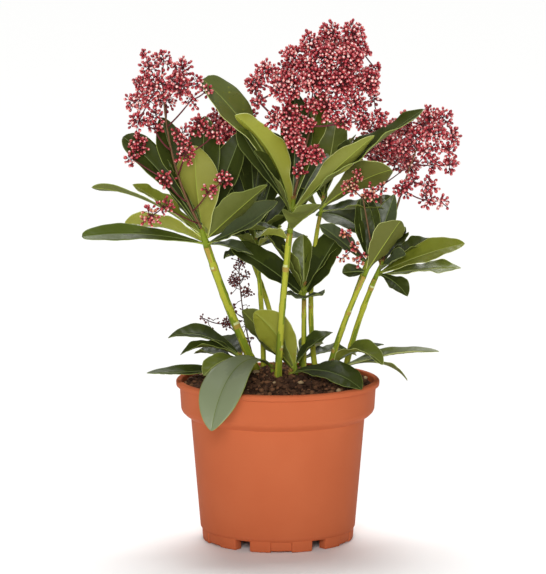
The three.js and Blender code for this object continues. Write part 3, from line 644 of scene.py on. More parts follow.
def add_leaf(heap, root, row, tones, rng, own):
    """One leaf with a sunk midrib, quilted veins, a pale thickened margin and a stout stalk."""
    shape = leaf_shape(rng, own)
    length, width = row[3:5]
    t = np.linspace(0, 1, LEAF_STEPS + 1)[:-1]
    s = np.append(0.65 * t + 0.35 * (1 - np.cos(np.pi * t)) / 2, LAST_RING)
    half = leaf_width(s, shape) * width / 2
    lines = leaf_lines(s, half)
    middle, along, side, up = leaf_spine(root, row, shape, s)
    phase = rng.uniform(0, 6.28)
    halves = {hand: half_leaf(hand, cup, lines, s, row, shape, phase)
              for hand, cup in zip((1, -1), shape["cup"])}
    thick = length * THICK_TO_LONG * (1 - 0.5 * s) / 2 + STALK_THICK * np.exp(-s / 0.07)
    upper = thick[:, None] * THICK_SHARES
    lower = -upper
    relief = np.minimum(1, half / NARROW["midrib"])
    upper[:, 0] -= GROOVE * relief
    lower[:, 0] -= KEEL * relief * (1 - 0.7 * s)

    def column(hand, j, face):
        spread, rise = halves[hand]
        return middle + side * (hand * spread[:, j])[:, None] + up * (rise[:, j] + face[:, j])[:, None]

    last = lines.shape[1] - 1
    columns = [column(1, j, upper) for j in range(last, -1, -1)]
    columns += [column(-1, j, upper) for j in range(1, last + 1)]
    columns += [column(-1, j, lower) for j in range(last - 1, -1, -1)]
    columns += [column(1, j, lower) for j in range(1, last)]
    tip = middle[-1:] + along[-1:] * TIP_OUT * length
    corners = np.concatenate([np.stack(columns, 1).reshape(-1, 3), middle[:1], tip])
    finish = leaf_faces_finish(s, length, last, tones, phase)
    heap.add(corners, ring_faces(len(s), len(columns)), finish)


def leaves_piece(name, shoot):
    """All the leaves of a shoot as one mesh."""
    rng = random.Random("leaves " + name)
    _, start, _, lean = shoot_line(shoot)
    young, young_tones = YOUNG_LEAVES.get(name, ([], ""))
    rows = shoot["leaves"] + young
    tones = shoot["tones"] + young_tones
    kinds = []
    for tone in tones:
        kinds += [k for k in leaf_finishes(tone) if k not in kinds]
    kinds += ["rib", "rib_dark", "margin", "margin_dark", "petiole"]
    heap = Heap()
    for i, (row, tone) in enumerate(zip(rows, tones)):
        shade = "_dark" if tone in DARK_TONES else ""
        parts = (*leaf_finishes(tone), "rib" + shade, "margin" + shade, "petiole")
        numbers = [kinds.index(k) for k in parts]
        own = LEAF_SHAPES.get(name, {}).get(i, {})
        add_leaf(heap, start + lean * row[0], row, numbers, rng, own)
    fit(heap.make("blades_" + name, [MATERIALS[k] for k in kinds]), "leaf", "leaves_" + name)


# ---- stems ----
BARKS = (
    # Young bark: a shaded and a lit copy of one green, the darker for painted shade and the olive yellow for
    # painted light, dealt out in streaks; ochre by the joints.
    leaf_material("young_bark_green_painted_shade", "#76861f", (0.45, 0.6), 0.2),
    leaf_material("young_bark_painted_light_yellow_green", "#a6a832", (0.45, 0.6), 0.2),
    leaf_material("young_bark_ochre", "#a38a3a", (0.5, 0.65), 0.25),
    leaf_material("leaf_scar_pale", "#c3c98a", (0.6, 0.75)),
)
OCHRE, SCAR = 2, 3
BARK_TIP = leaf_material("bud_scale_reddish", "#8f6a34", (0.5, 0.65))
STEM_SIDES = 16
STEM_STEPS = 64
# Shares of a stem's radius that its five ribs, swollen joints, foot and unevenness add, and how far along
# the stem a joint and the foot swell it, in mm.
RIBS, KNEES, FLARE, UNEVEN = 0.05, 0.1, 0.18, 0.07
KNEE_TALL, FLARE_TALL = 1.8, 3
# A leaf scar is a half moon a little over its joint, with ochre bark around and under it; the stem's top
# is ochre too. Heights in mm, widths in radians; each scar is turned on from the one below.
SCAR_UP, SCAR_TALL, SCAR_WIDE, SCAR_TURN = 0.9, 0.6, 0.9, 2.4
OCHRE_WIDE, OCHRE_TALL, OCHRE_TOP = 1.3, (-2.4, 0.2), 9
# The grain of the bark's streaks around and along the stem, and the level above which they are olive yellow,
# painted light; below it they are green, painted shade.
STREAK_AROUND, STREAK_ALONG, PAINTED_LIGHT_OVER = 1.4, 26, -0.15
# Where a stem's joints are, as shares of its length.
NODE_SHARES = {
    "left": (0.16, 0.42, 0.63, 0.85),
    "front": (0.03, 0.25, 0.52, 0.78),
    "slim_left": (0.3, 0.7),
    "back_left": (0.35, 0.75),
    "middle": (0.4, 0.8),
    "middle_tall": (0.2, 0.45, 0.8),
    "right": (0.3, 0.66, 0.9),
    "far_right": (0.35, 0.72, 0.92),
    "back_right": (0.4, 0.8),
}
LOW_SHOOT_R = 1.8
SHOOT_TAPER = 0.4
# The scales of a shoot's end bud: how many, and how far out each of their rings is, with its radius.
BUD_SCALES = 7
SCALE_RINGS = ((0, 0.7), (1.2, 0.85), (2.4, 0.6), (3.4, 0.1))


def limb(at, tangent, radii, swell):
    """A limb made by extruding a ring along a curve. swell(t, turn) scales its radius."""
    bm = bmesh.new()
    bmesh.ops.create_circle(bm, cap_ends=True, radius=1.0, segments=STEM_SIDES)
    ring = list(bm.verts)
    edges = list(bm.edges)
    for i in range(STEM_STEPS + 1):
        t = i / STEM_STEPS
        if i:
            made = bmesh.ops.extrude_edge_only(bm, edges=edges)["geom"]
            ring = [v for v in made if isinstance(v, bmesh.types.BMVert)]
            edges = [e for e in made if isinstance(e, bmesh.types.BMEdge)
                     and all(v in ring for v in e.verts)]
        point = at(t)
        side, front = frame_of(tangent(t))
        for k, vert in enumerate(ring):
            turn = 2 * math.pi * k / STEM_SIDES
            r = taper(radii, t) * swell(t, turn)
            vert.co = Vector((point + r * (math.cos(turn) * side + math.sin(turn) * front)) * MM)
    bmesh.ops.contextual_create(bm, geom=edges)
    bmesh.ops.recalc_face_normals(bm, faces=bm.faces)
    return bm


def stem_piece(name, stem):
    """A green stem with faint ribs, swollen joints with half-moon leaf scars, and a slightly wider foot."""
    at, tangent = stem_line(stem)
    length = np.linalg.norm(at(1.0) - at(0.0))
    joints = NODE_SHARES[name]
    phase = len(name) * 0.7

    def swell(t, turn):
        ribs = RIBS * math.cos(5 * turn + phase + 2 * t)
        knees = sum(KNEES * math.exp(-((t - j) * length / KNEE_TALL) ** 2) for j in joints)
        flare = FLARE * math.exp(-max(0.0, t * length - SUNK) / FLARE_TALL)
        place = Vector((math.cos(turn), math.sin(turn), t * length / 9 + phase))
        return 1 + ribs + knees + flare + UNEVEN * noise.noise(place)

    bm = limb(at, tangent, stem["radius"], swell)
    for face in bm.faces:
        centre = np.array(face.calc_center_median()) / MM
        t = np.clip(np.dot(centre - at(0.0), at(1.0) - at(0.0)) / length ** 2, 0, 1)
        side = centre - at(t)
        turn = math.atan2(side[1], side[0])
        around = STREAK_AROUND * math.cos(turn), STREAK_AROUND * math.sin(turn)
        streak = noise.noise(Vector((*around, t * length / STREAK_ALONG + phase)))
        offs = [(t - j) * length for j in joints]
        up = min(offs, key=abs)
        aside = abs(math.remainder(turn - SCAR_TURN * offs.index(up) - phase, math.tau))
        if abs(up - SCAR_UP + 0.7 * aside ** 2) < SCAR_TALL and aside < SCAR_WIDE:
            face.material_index = SCAR
        elif ((aside < OCHRE_WIDE and OCHRE_TALL[0] < up < OCHRE_TALL[1])
              or (1 - t) * length < OCHRE_TOP * (0.4 + 1.5 * streak)):
            face.material_index = OCHRE
        else:
            # Painted light and shade: streaks over the level take the lit olive yellow, the rest the shaded
            # green.
            face.material_index = int(streak > PAINTED_LIGHT_OVER)
    mesh = smooth_mesh(bm, "bark_" + name, BARKS)
    fit(new_object("bark_" + name, mesh), "stem", "stem_" + name)


def shoot_piece(name, shoot):
    """The leafy tip's own twig, with the reddish scales of its end bud."""
    foot, _, tip, lean = shoot_line(shoot)
    radius = LOW_SHOOT_R if "at" in shoot else STEMS[shoot["on"]]["radius"][1]
    heap = Heap()
    shares = (0, 0.25, 0.5, 0.75, 1)
    points = [foot + (tip - foot) * t for t in shares]
    add_twig(heap, points, [radius * (1 - SHOOT_TAPER * t) for t in shares], 10, 0)
    rng = random.Random("scales " + name)
    for k in range(BUD_SCALES):
        heading = math.radians(360 // BUD_SCALES * k + rng.uniform(-12, 12))
        out = unit(np.array([math.cos(heading), math.sin(heading), 1.5]))
        root = tip - lean * rng.uniform(1, 4)
        add_twig(heap, [root + out * along for along, _ in SCALE_RINGS], [r for _, r in SCALE_RINGS], 6, 1)
    fit(heap.make("twig_" + name, [BARKS[0], BARK_TIP]), "stem", "leaves_" + name)


# ---- flower heads ----
BUD_KINDS = {
    # Closed buds: the petals are deep red below and a paler, warmer pink at the tip, partly the buds' own
    # colour and partly a painted highlight.
    "deep": ("#8a1c27", "#bf4a52"),
    "rose": ("#a72b35", "#e48d8c"),
    "coral": ("#b93d40", "#efaaa0"),
    "pale": ("#c4585c", "#f9d3ca"),
    "tan": ("#b8674c", "#e6bb9c"),
    "dead": ("#5a2626", "#86463f"),
}
BUD_MATERIALS = {}
for kind, (lower, upper) in BUD_KINDS.items():
    BUD_MATERIALS[kind] = leaf_material("bud_petals_" + kind, lower, (0.24, 0.36), 0.5)
    BUD_MATERIALS[kind + "_tip"] = leaf_material("bud_tips_" + kind, upper, (0.24, 0.36), 0.5)
CUP = leaf_material("bud_cups_maroon", "#5f1a22", (0.5, 0.65))
STALKS = (
    leaf_material("flower_stalks_red_brown", "#642a2e", (0.5, 0.65)),
    leaf_material("flower_stalks_brown_green", "#6f4f34", (0.5, 0.65)),
)
DEAD_STALKS = (
    leaf_material("dried_stalks_maroon", "#4a2430", (0.7, 0.85)),
    leaf_material("dried_stalks_brown", "#5a3a32", (0.7, 0.85)),
)

BUD_SIDES = 8
# The rings of a unit bud: height, and radius at its lobes and between them. The finish of each band.
BUD_RINGS = ((-1.3, 0.4, 0.4), (-0.85, 0.74, 0.74), (-0.1, 1.0, 1.0), (0.65, 0.86, 0.78), (1.1, 0.5, 0.36))
BUD_ENDS = ((0, 0, -1.35), (0, 0, 1.38))
# The tip band's pale pink is partly the bud's own colour and partly a painted highlight.
PETALS, TIP_AND_HIGHLIGHT, CUPPED = 0, 1, 2
BUD_BANDS = (CUPPED, PETALS, PETALS, TIP_AND_HIGHLIGHT, CUPPED, TIP_AND_HIGHLIGHT)


def bud_shape():
    """A unit bud along +Z: a five-ringed egg, four-lobed near its tip, and the part that each face is of."""
    turn = np.arange(BUD_SIDES) * 2 * np.pi / BUD_SIDES
    corners = []
    for z, wide, narrow in BUD_RINGS:
        r = np.where(np.arange(BUD_SIDES) % 2 == 0, wide, narrow)
        corners.append(np.stack([r * np.cos(turn), r * np.sin(turn), np.full(BUD_SIDES, z)], 1))
    corners = np.concatenate([*corners, BUD_ENDS])
    return corners, ring_faces(len(BUD_RINGS), BUD_SIDES), np.repeat(BUD_BANDS, BUD_SIDES)


BUD_CORNERS, BUD_FACES, BUD_PARTS = bud_shape()


def add_bud(heap, centre, out, size, finishes):
    """A bud that points out from its stalk. finishes: of its petals, tip and cup."""
    side, front = frame_of(out)
    turned = BUD_CORNERS @ np.stack([side, front, out])
    heap.add(centre + size * turned, BUD_FACES, np.asarray(finishes)[BUD_PARTS])


def flower_axis(head):
    """The start of a flower head, its axis as a function of its share, and the axis's foot and height."""
    if "at" in head:
        foot = planted(*head["at"])
        start = foot + np.array([0, 0, SUNK])
    else:
        _, _, tip, lean = shoot_line(SHOOTS[head["on"]])
        foot = tip + lean * HEAD_GAP
        start = foot + np.array(head["stalk"], float)
    top = start + np.array(head["tip"], float)
    at, _ = bowed(foot, np.array(head["bow"], float), top)
    return start, at, foot[2], top[2] - foot[2]


# A branch starts at another knot where that is nearer than this share of the way to the axis. Those on the
# axis rise this much for each mm outward, and start between these shares of it.
FORK_SHARE = 0.75
BRANCH_RISE = 0.75
AXIS_FROM, AXIS_TO = 0.03, 0.95


def axis_place(at, low, tall, centre):
    """Where a branch to the centre leaves the head's axis, as in the solids."""
    t = (centre[2] - low) / tall
    for _ in range(6):
        a = at(min(AXIS_TO, max(AXIS_FROM, t)))
        away = math.hypot(centre[0] - a[0], centre[1] - a[1])
        t = (centre[2] - low - BRANCH_RISE * away) / tall
    return at(min(AXIS_TO, max(AXIS_FROM, t)))


def knot_parents(head):
    """The middles of the knots, where each one's branch starts, and the knot it starts from, if any."""
    start, at, low, tall = flower_axis(head)
    centres = [start + np.array(knot[:3], float) for knot in head["knots"]]
    feet, parents = [], []
    for centre in centres:
        foot, parent = axis_place(at, low, tall, centre), None
        shortest = FORK_SHARE * np.linalg.norm(centre - foot)
        for k, other in enumerate(centres):
            away = np.linalg.norm(centre - other)
            further_in = np.linalg.norm(other - start) < np.linalg.norm(centre - start)
            if further_in and away < shortest:
                foot, parent, shortest = other, k, away
        feet.append(foot)
        parents.append(parent)
    return centres, feet, parents


# apart: how close two buds sit, mm. size: a bud's radius, mm. inner: how hollow a knot is, as a share.
# open: how much of a head is left empty, -1 to 1. thick: its axis, from foot to top, mm. paler_below: under
# this height, mm, its buds are the paler, browner ones.
USUAL_HEAD = {"apart": 2.5, "size": 1.05, "inner": 0.4, "open": -0.28, "thick": (1.0, 0.5), "kinds": "usual",
              "paler_below": 0}
HEAD_WAYS = {
    "left": {"apart": 2.55, "size": 1.02, "open": -0.02, "paler_below": 232},
    "right": {"apart": 2.6, "size": 1.1, "open": -0.12},
    "small": {"apart": 2.4, "size": 0.95, "open": -0.08, "kinds": "tan", "thick": (0.7, 0.4)},
    "dried": {"apart": 1.5, "size": 0.62, "inner": 0.0, "open": 0.06, "kinds": "dead", "thick": (0.6, 0.35)},
}
KINDS = {
    "usual": ("deep", "deep", "rose", "rose", "rose", "coral", "pale", "pale"),
    "tan": ("tan", "tan", "coral", "rose"),
    "dead": ("dead",),
}
# A knot's reach, as a share of its radius, and what its lumps add; how much longer than wide it is; the
# grain of its holes, in mm; and how far round its back buds grow, as a cosine. Paler buds stand more loosely.
REACH, LUMPY, LONGER = 1.0, 0.42, 0.1
HOLE_SIZE = 4.5
BACK = -0.75
LOOSER = {"reach": 1.3, "open": 0.16}
BUDS_IN_A_PIECE = 2200
# Buds tried in a knot whose radius is the buds' spacing, and those tried in every knot besides.
TRIES, LEAST_TRIES = 36, 8
# Radii of the stalks from foot to tip, in mm.
FORK_RADII, JOINT_RADII, BUD_STALK_RADII = (0.34, 0.28), (0.26, 0.22), (0.19, 0.24)
SPRIG_RADII = (0.3, 0.26, 0.2)
# A branch's radius, and what the square root of its load adds to it; what its foot and its tip add.
BRANCH_R, LOAD_R = 0.26, 0.13
BRANCH_FOOT, BRANCH_TIP = 0.08, -0.06
# Buds and stalks meet in groups of so many, drawn this share of the way in to the knot's middle.
GROUP = 3
JOINT_PULL, FORK_PULL = 0.32, 0.45
YOUNG_STALK, OLD_STALK = 0, 1


def bud_places(centres, radii, growths, way, rng):
    """Places for buds, no two too close, with the knot of each. A knot is lumpy, hollow, longer along its
    growth than across, and has holes where no bud grows."""
    tries = []
    for k, radius in enumerate(radii):
        count = int(TRIES * (radius / way["apart"]) ** 3) + LEAST_TRIES
        d = rng.normal(size=(count, 3))
        d /= np.linalg.norm(d, axis=1)[:, None]
        lumps = np.array([noise.noise(Vector(v * 1.4 + 3.7 * k)) for v in d])
        low = centres[k][2] < way["paler_below"]
        spread = LOOSER["reach"] if low else REACH
        opened = way["open"] + LOOSER["open"] * low
        reach = radius * (spread + LUMPY * lumps) * rng.uniform(way["inner"] ** 3, 1, count) ** (1 / 3)
        step = d * reach[:, None]
        step += growths[k] * (step @ growths[k])[:, None] * LONGER
        facing = d @ growths[k] > BACK
        tries += [(k, centres[k] + v) for v in step[facing]
                  if noise.noise(Vector((centres[k] + v) / HOLE_SIZE)) > opened]
    middles = np.array(centres)
    cores = way["inner"] * np.array(radii) * 0.9
    apart = way["apart"]
    taken = {}
    kept, owners = [], []
    for i in rng.permutation(len(tries)):
        k, place = tries[i]
        if (((middles - place) ** 2).sum(1) < cores ** 2).any():
            continue
        cell = tuple(int(v // apart) for v in place)
        around = itertools.product(*((c - 1, c, c + 1) for c in cell))
        near = (other for c in around for other in taken.get(c, ()))
        if all(math.dist(place, other) > apart for other in near):
            taken.setdefault(cell, []).append(place)
            kept.append(place)
            owners.append(k)
    return np.array(kept), np.array(owners)


def gathered(points, size, toward, pull):
    """The points in near groups, each with the place where its stalks meet, drawn toward a place."""
    spans = np.linalg.norm(points[:, None] - points[None], axis=2)
    left = list(np.argsort(-np.linalg.norm(points - toward, axis=1)))
    groups = []
    while left:
        group = sorted(left, key=lambda i: spans[left[0], i])[:size]
        left = [i for i in left if i not in group]
        middle = points[group].mean(0)
        groups.append((group, middle + (toward - middle) * pull))
    return groups


def add_stalk(heap, foot, tip, radii, sag, sides, finish):
    """A thin stalk with a little bow."""
    at, _ = bowed(foot, sag, tip)
    shares = np.linspace(0, 1, max(2, min(7, 2 + int(np.linalg.norm(tip - foot) / 3))))
    add_twig(heap, [at(u) for u in shares], [taper(radii, u) for u in shares], sides, finish)


def dried_sprigs(stalks, buds, at, centres, feet, size, rng, finishes):
    """Crooked side twigs with shrivelled buds, all along the axis and the branches of a spent head."""
    places = [at(t) for t in np.linspace(0.25, 0.97, 16)]
    places += [foot + (centre - foot) * t for foot, centre in zip(feet, centres) for t in (0.35, 0.6, 0.85)]
    for place in places:
        for _ in range(rng.integers(1, 3)):
            d = unit(rng.normal(size=3) + np.array([0, 0, 0.4]))
            bend = place + d * rng.uniform(1.5, 4.5)
            end = bend + (d + rng.uniform(-0.8, 0.8, 3)) * rng.uniform(1, 3.2)
            add_twig(stalks, [place, bend, end], SPRIG_RADII, 4, OLD_STALK)
            for _ in range(rng.integers(1, 3)):
                spot = end + rng.uniform(-1.1, 1.1, 3)
                add_bud(buds, spot, d, size * rng.uniform(0.7, 1.25), finishes)


def branch_loads(centres, parents, foot):
    """How many knots hang on each knot's branch, its own counted."""
    carried = [1] * len(centres)
    for k in sorted(range(len(centres)), key=lambda k: -np.linalg.norm(centres[k] - foot)):
        if parents[k] is not None:
            carried[parents[k]] += carried[k]
    return carried


def add_branches(stalks, at, centres, feet, parents, rng):
    """The branches of a head, stouter where they carry more. Gives the way each knot grows."""
    growths = []
    for centre, foot, load in zip(centres, feet, branch_loads(centres, parents, at(0.0))):
        reach = np.linalg.norm(centre - foot)
        radius = BRANCH_R + LOAD_R * math.sqrt(load)
        sag = np.append(rng.uniform(-0.05, 0.05, 2), rng.uniform(-0.1, -0.02)) * reach
        ends = radius + BRANCH_FOOT, radius + BRANCH_TIP
        add_stalk(stalks, foot, centre, ends, sag, 6, YOUNG_STALK)
        growths.append(unit((centre - foot) / reach + np.array([0, 0, 0.5])))
    return growths


def add_knot(stalks, buds, centre, places, size, colours, finishes, rng):
    """The buds of a knot, in threes of threes on short forked stalks."""
    clusters = gathered(places, GROUP, centre, JOINT_PULL)
    joints = np.array([joint for _, joint in clusters])
    for group, fork in gathered(joints, GROUP, centre, FORK_PULL):
        add_stalk(stalks, centre, fork, FORK_RADII, rng.uniform(-0.3, 0.3, 3), 4, YOUNG_STALK)
        for g in group:
            members, joint = clusters[g]
            add_stalk(stalks, fork, joint, JOINT_RADII, rng.uniform(-0.2, 0.2, 3), 4, YOUNG_STALK)
            for spot in places[members]:
                radius = size * rng.uniform(0.82, 1.15)
                outward = 0.3 * (spot - centre) / max(1e-6, np.linalg.norm(spot - centre))
                out = unit(spot - joint + outward)
                add_twig(stalks, [joint, spot - out * radius * 1.2], BUD_STALK_RADII, 3, YOUNG_STALK)
                add_bud(buds, spot, out, radius, finishes[colours[rng.integers(len(colours))]])


def flower_pieces(name, head):
    """The stalks of a flower head as one mesh, and its buds as another, or two where they are many."""
    rng = np.random.default_rng(sum(map(ord, name)))
    way = {**USUAL_HEAD, **HEAD_WAYS.get(name, {})}
    spent = name == "dried"
    kinds = KINDS[way["kinds"]]
    listed = list(dict.fromkeys(kinds + KINDS["tan"] * (way["paler_below"] > 0)))
    materials = [CUP] + [BUD_MATERIALS[k + end] for k in listed for end in ("", "_tip")]
    finishes = {k: (1 + 2 * i, 2 + 2 * i, 0) for i, k in enumerate(listed)}
    stalks = Heap()
    _, at, _, _ = flower_axis(head)
    steps = np.linspace(0, 1, 13)
    add_twig(stalks, [at(t) for t in steps], [taper(way["thick"], t) for t in steps], 7, OLD_STALK)
    centres, feet, parents = knot_parents(head)
    growths = add_branches(stalks, at, centres, feet, parents, rng)
    places, owners = bud_places(centres, [knot[3] for knot in head["knots"]], growths, way, rng)
    pieces = 1 + len(places) // BUDS_IN_A_PIECE
    heaps = [Heap() for _ in range(pieces)]
    for k, centre in enumerate(centres):
        colours = KINDS["tan"] if centre[2] < way["paler_below"] else kinds
        if (owners == k).any():
            buds = heaps[k * pieces // len(centres)]
            add_knot(stalks, buds, centre, places[owners == k], way["size"], colours, finishes, rng)
    if spent:
        dried_sprigs(stalks, heaps[-1], at, centres, feet, way["size"], rng, finishes["dead"])
    slot = "dried" if spent else "flower"
    fit(stalks.make("stalks_" + name, DEAD_STALKS if spent else STALKS), slot, "flowers_" + name)
    for i, heap in enumerate(heaps):
        part = "_%d" % (i + 1) if pieces > 1 else ""
        fit(heap.make("buds_" + name + part, materials), slot, "flowers_" + name)


# ---- pot ----
TURN_STEPS = 128
FOOT_STEPS = 6
EDGE_ROUND = 0.45
# Edges that turn by more than this are rounded, on the pot and on its feet; the rest of the sharp ones
# keep a crisp shading.
ROUNDED_DEG, FOOT_ROUNDED_DEG, CRISP_DEG = 14, 50, 35
# The flared shoulder between body and collar: from the body out and up, and from the collar in and down.
SHOULDER_OUT, SHOULDER_UP = 3.6, 2.2
SHOULDER_IN, SHOULDER_DOWN = 0.9, 2
# The lip's outer bevel, the mm that it leans in at its low edge, and its inner bevel in and down.
LIP_BEVEL, LIP_LEAN = 1, 0.2
INNER_BEVEL_IN, INNER_BEVEL_DOWN = 0.6, 0.8
# A foot's outer wall: its low bevel in and up, and its lean outward up to the heel that it goes into.
FOOT_BEVEL_IN, FOOT_BEVEL_UP, FOOT_LEAN, FOOT_INTO = 0.5, 1.4, 0.35, 1
POT_CLOUD_MM = 38


def pot_material():
    """Injection-moulded polypropylene in terracotta: an even satin skin with slight flow clouding."""
    material, shader = new_material("moulded_polypropylene_terracotta", "#c26541", 0.5, 1.49)
    shader.inputs["Specular IOR Level"].default_value = 0.03
    mottle(material, shader, size_mm=0.9, roughness=(0.52, 0.64), depth_mm=0.05, strength=0.25)
    place = add_node(material, "ShaderNodeTexCoord")
    clouds = add_node(material, "ShaderNodeTexNoise", {"Scale": 1000 / POT_CLOUD_MM, "Detail": 3.0},
                      {"Vector": place.outputs["Object"]})
    tint = add_node(material, "ShaderNodeMix", {"data_type": "RGBA"})
    tint.inputs[6].default_value = linear("#b95e3a")
    tint.inputs[7].default_value = linear("#c56b45")
    material.node_tree.links.new(clouds.outputs["Fac"], tint.inputs[0])
    material.node_tree.links.new(tint.outputs[2], shader.inputs["Base Color"])
    return material


def spun(profile, turn_deg, steps, start_deg=0.0, closed=False):
    """A bmesh made by spinning a profile of (radius, height) about the Z axis."""
    bm = bmesh.new()
    start = math.radians(start_deg)
    verts = [bm.verts.new((r * MM * math.cos(start), r * MM * math.sin(start), z * MM)) for r, z in profile]
    edges = [bm.edges.new(pair) for pair in zip(verts, verts[1:])]
    geom = verts + edges
    if closed:
        bm.faces.new(verts)
        geom = verts + list(bm.edges) + list(bm.faces)
    bmesh.ops.spin(bm, geom=geom, cent=(0, 0, 0), axis=(0, 0, 1), angle=math.radians(turn_deg),
                   steps=steps, use_merge=turn_deg == 360, use_duplicate=False)
    bmesh.ops.remove_doubles(bm, verts=bm.verts, dist=1e-6)
    bmesh.ops.recalc_face_normals(bm, faces=bm.faces)
    return bm


def bevel_rings(bm, width_mm, sharper_than_deg):
    """Rounds every edge that turns by more than the given angle."""
    sharp = [e for e in bm.edges if len(e.link_faces) == 2
             and e.calc_face_angle(0.0) > math.radians(sharper_than_deg)]
    bmesh.ops.bevel(bm, geom=sharp, offset=width_mm * MM, offset_type="OFFSET", segments=3,
                    profile=0.5, affect="EDGES", material=-1, clamp_overlap=True)


def add_foot(bm, start_deg, turn_deg, low):
    """Adds a stretch of a foot under the pot's heel, with its underside at the given height."""
    outer = HEEL_R - 0.5 * low
    top = FOOT_TALL + FOOT_INTO
    section = [(FOOT_IN_R, low), (outer - FOOT_BEVEL_IN, low), (outer, low + FOOT_BEVEL_UP),
               (outer + FOOT_LEAN, top), (FOOT_IN_R, top)]
    foot = spun(section, turn_deg, FOOT_STEPS, start_deg, closed=True)
    bevel_rings(foot, EDGE_ROUND, FOOT_ROUNDED_DEG)
    part = bpy.data.meshes.new("foot")
    foot.to_mesh(part)
    foot.free()
    bm.from_mesh(part)
    bpy.data.meshes.remove(part)


def pot_mesh():
    """The spun pot, with six feet that are each relieved in the middle."""
    lip_low = LIP_TOP - LIP_TALL
    bore_r = COLLAR_TOP_R - WALL
    floor = BODY_LOW + WALL
    profile = [
        (0, FOOT_TALL), (HEEL_R, FOOT_TALL), (BODY_LOW_R, BODY_LOW), (BODY_TOP_R, BODY_TOP),
        (BODY_TOP_R + SHOULDER_OUT, BODY_TOP + SHOULDER_UP),
        (COLLAR_LOW_R - SHOULDER_IN, COLLAR_LOW - SHOULDER_DOWN), (COLLAR_LOW_R, COLLAR_LOW),
        (COLLAR_TOP_R, lip_low), (LIP_R - LIP_LEAN, lip_low), (LIP_R, LIP_TOP - LIP_BEVEL),
        (LIP_R - LIP_BEVEL, LIP_TOP), (bore_r + INNER_BEVEL_IN, LIP_TOP),
        (bore_r, LIP_TOP - INNER_BEVEL_DOWN), (COLLAR_LOW_R - WALL, COLLAR_LOW),
        (BODY_TOP_R - WALL, BODY_TOP), (BODY_LOW_R - WALL, floor), (0, floor),
    ]
    bm = spun(profile, 360, TURN_STEPS)
    bevel_rings(bm, EDGE_ROUND, ROUNDED_DEG)
    end, relief = FOOT_DEG / 2, FOOT_RELIEF_DEG / 2
    for k in range(FOOT_COUNT):
        middle = FOOT_TURN_DEG + k * 360 / FOOT_COUNT
        add_foot(bm, middle - end, end - relief, 0)
        add_foot(bm, middle - relief, FOOT_RELIEF_DEG, FOOT_RELIEF)
        add_foot(bm, middle + relief, end - relief, 0)
    mesh = smooth_mesh(bm, "nursery_pot")
    mesh.set_sharp_from_angle(angle=math.radians(CRISP_DEG))
    return mesh


# ---- soil ----
SOILS = (
    # Peat compost: near-black damp crumbs with browner, drier ones, and a few pale bits of bark.
    leaf_material("peat_damp", "#40291b", (0.8, 0.95)),
    leaf_material("peat_brown", "#573a27", (0.85, 0.95)),
    leaf_material("peat_dry_crumb", "#7a5439", (0.85, 0.95)),
    leaf_material("bark_fibre_pale", "#b59a74", (0.8, 0.9)),
)
SOIL_SHARES = (0.36, 0.4, 0.226, 0.014)
CRUMBS = 5200
# A crumb's least size and what the largest add, in mm; few are large. Its stretch, least to most, flatter
# in height; and how uneven its corners are.
CRUMB_SIZE, CRUMB_GROWTH, FEW_LARGE = 0.45, 2.1, 3.4
CRUMB_STRETCH, CRUMB_FLAT = (0.6, 1.3), np.array([1, 1, 0.7])
CRUMB_ROUGH = 0.28
# Rings of the bed's top, and steps around it. Its lumps and grit: how far apart, and how tall, in mm.
SOIL_RINGS = 44
SOIL_STEPS = 150
LUMPS_APART, LUMPS_TALL = 9, 1.5
GRIT_APART, GRIT_TALL, GRIT_DOWN = 3.1, 1.5, 0.9


def soil_lumps(x, y):
    return noise.noise(Vector((x / LUMPS_APART, y / LUMPS_APART, 0.3))) * LUMPS_TALL


def soil_bed():
    """The heaped compost as one closed body, its surface broken up by lumps and grit."""
    foot = BODY_LOW + WALL + GAP
    clear = WALL + GAP + 0.1
    edge = SOIL_R - 0.2
    profile = [(0, foot), (BODY_LOW_R - clear, foot), (BODY_TOP_R - clear - 0.4, BODY_TOP),
               (COLLAR_LOW_R - clear - 0.6, COLLAR_LOW + 0.6)]
    for i in range(SOIL_RINGS + 1):
        away = edge * (1 - i / SOIL_RINGS)
        profile.append((away, soil_height(away, 0)))
    bm = spun(profile, 360, SOIL_STEPS)
    for vert in bm.verts:
        x, y, z = vert.co / MM
        if z > SOIL_EDGE - 0.5:
            place = Vector((x / GRIT_APART, y / GRIT_APART, 4.0))
            grit = noise.turbulence(place, 3, False) * GRIT_TALL - GRIT_DOWN
            fade = min(1.0, (edge - math.hypot(x, y)) / 4 + 0.25)
            vert.co.z += (soil_lumps(x, y) + grit) * fade * MM
    fit(new_object("compost_bed", smooth_mesh(bm, "compost_bed", SOILS[:1])), "soil", "soil")


def lump_shape():
    """The corners and faces of a small twenty-sided lump."""
    bm = bmesh.new()
    bmesh.ops.create_icosphere(bm, subdivisions=1, radius=1.0)
    corners = np.array([v.co for v in bm.verts])
    faces = np.array([[v.index for v in f.verts] + [-1] for f in bm.faces])
    bm.free()
    return corners, faces


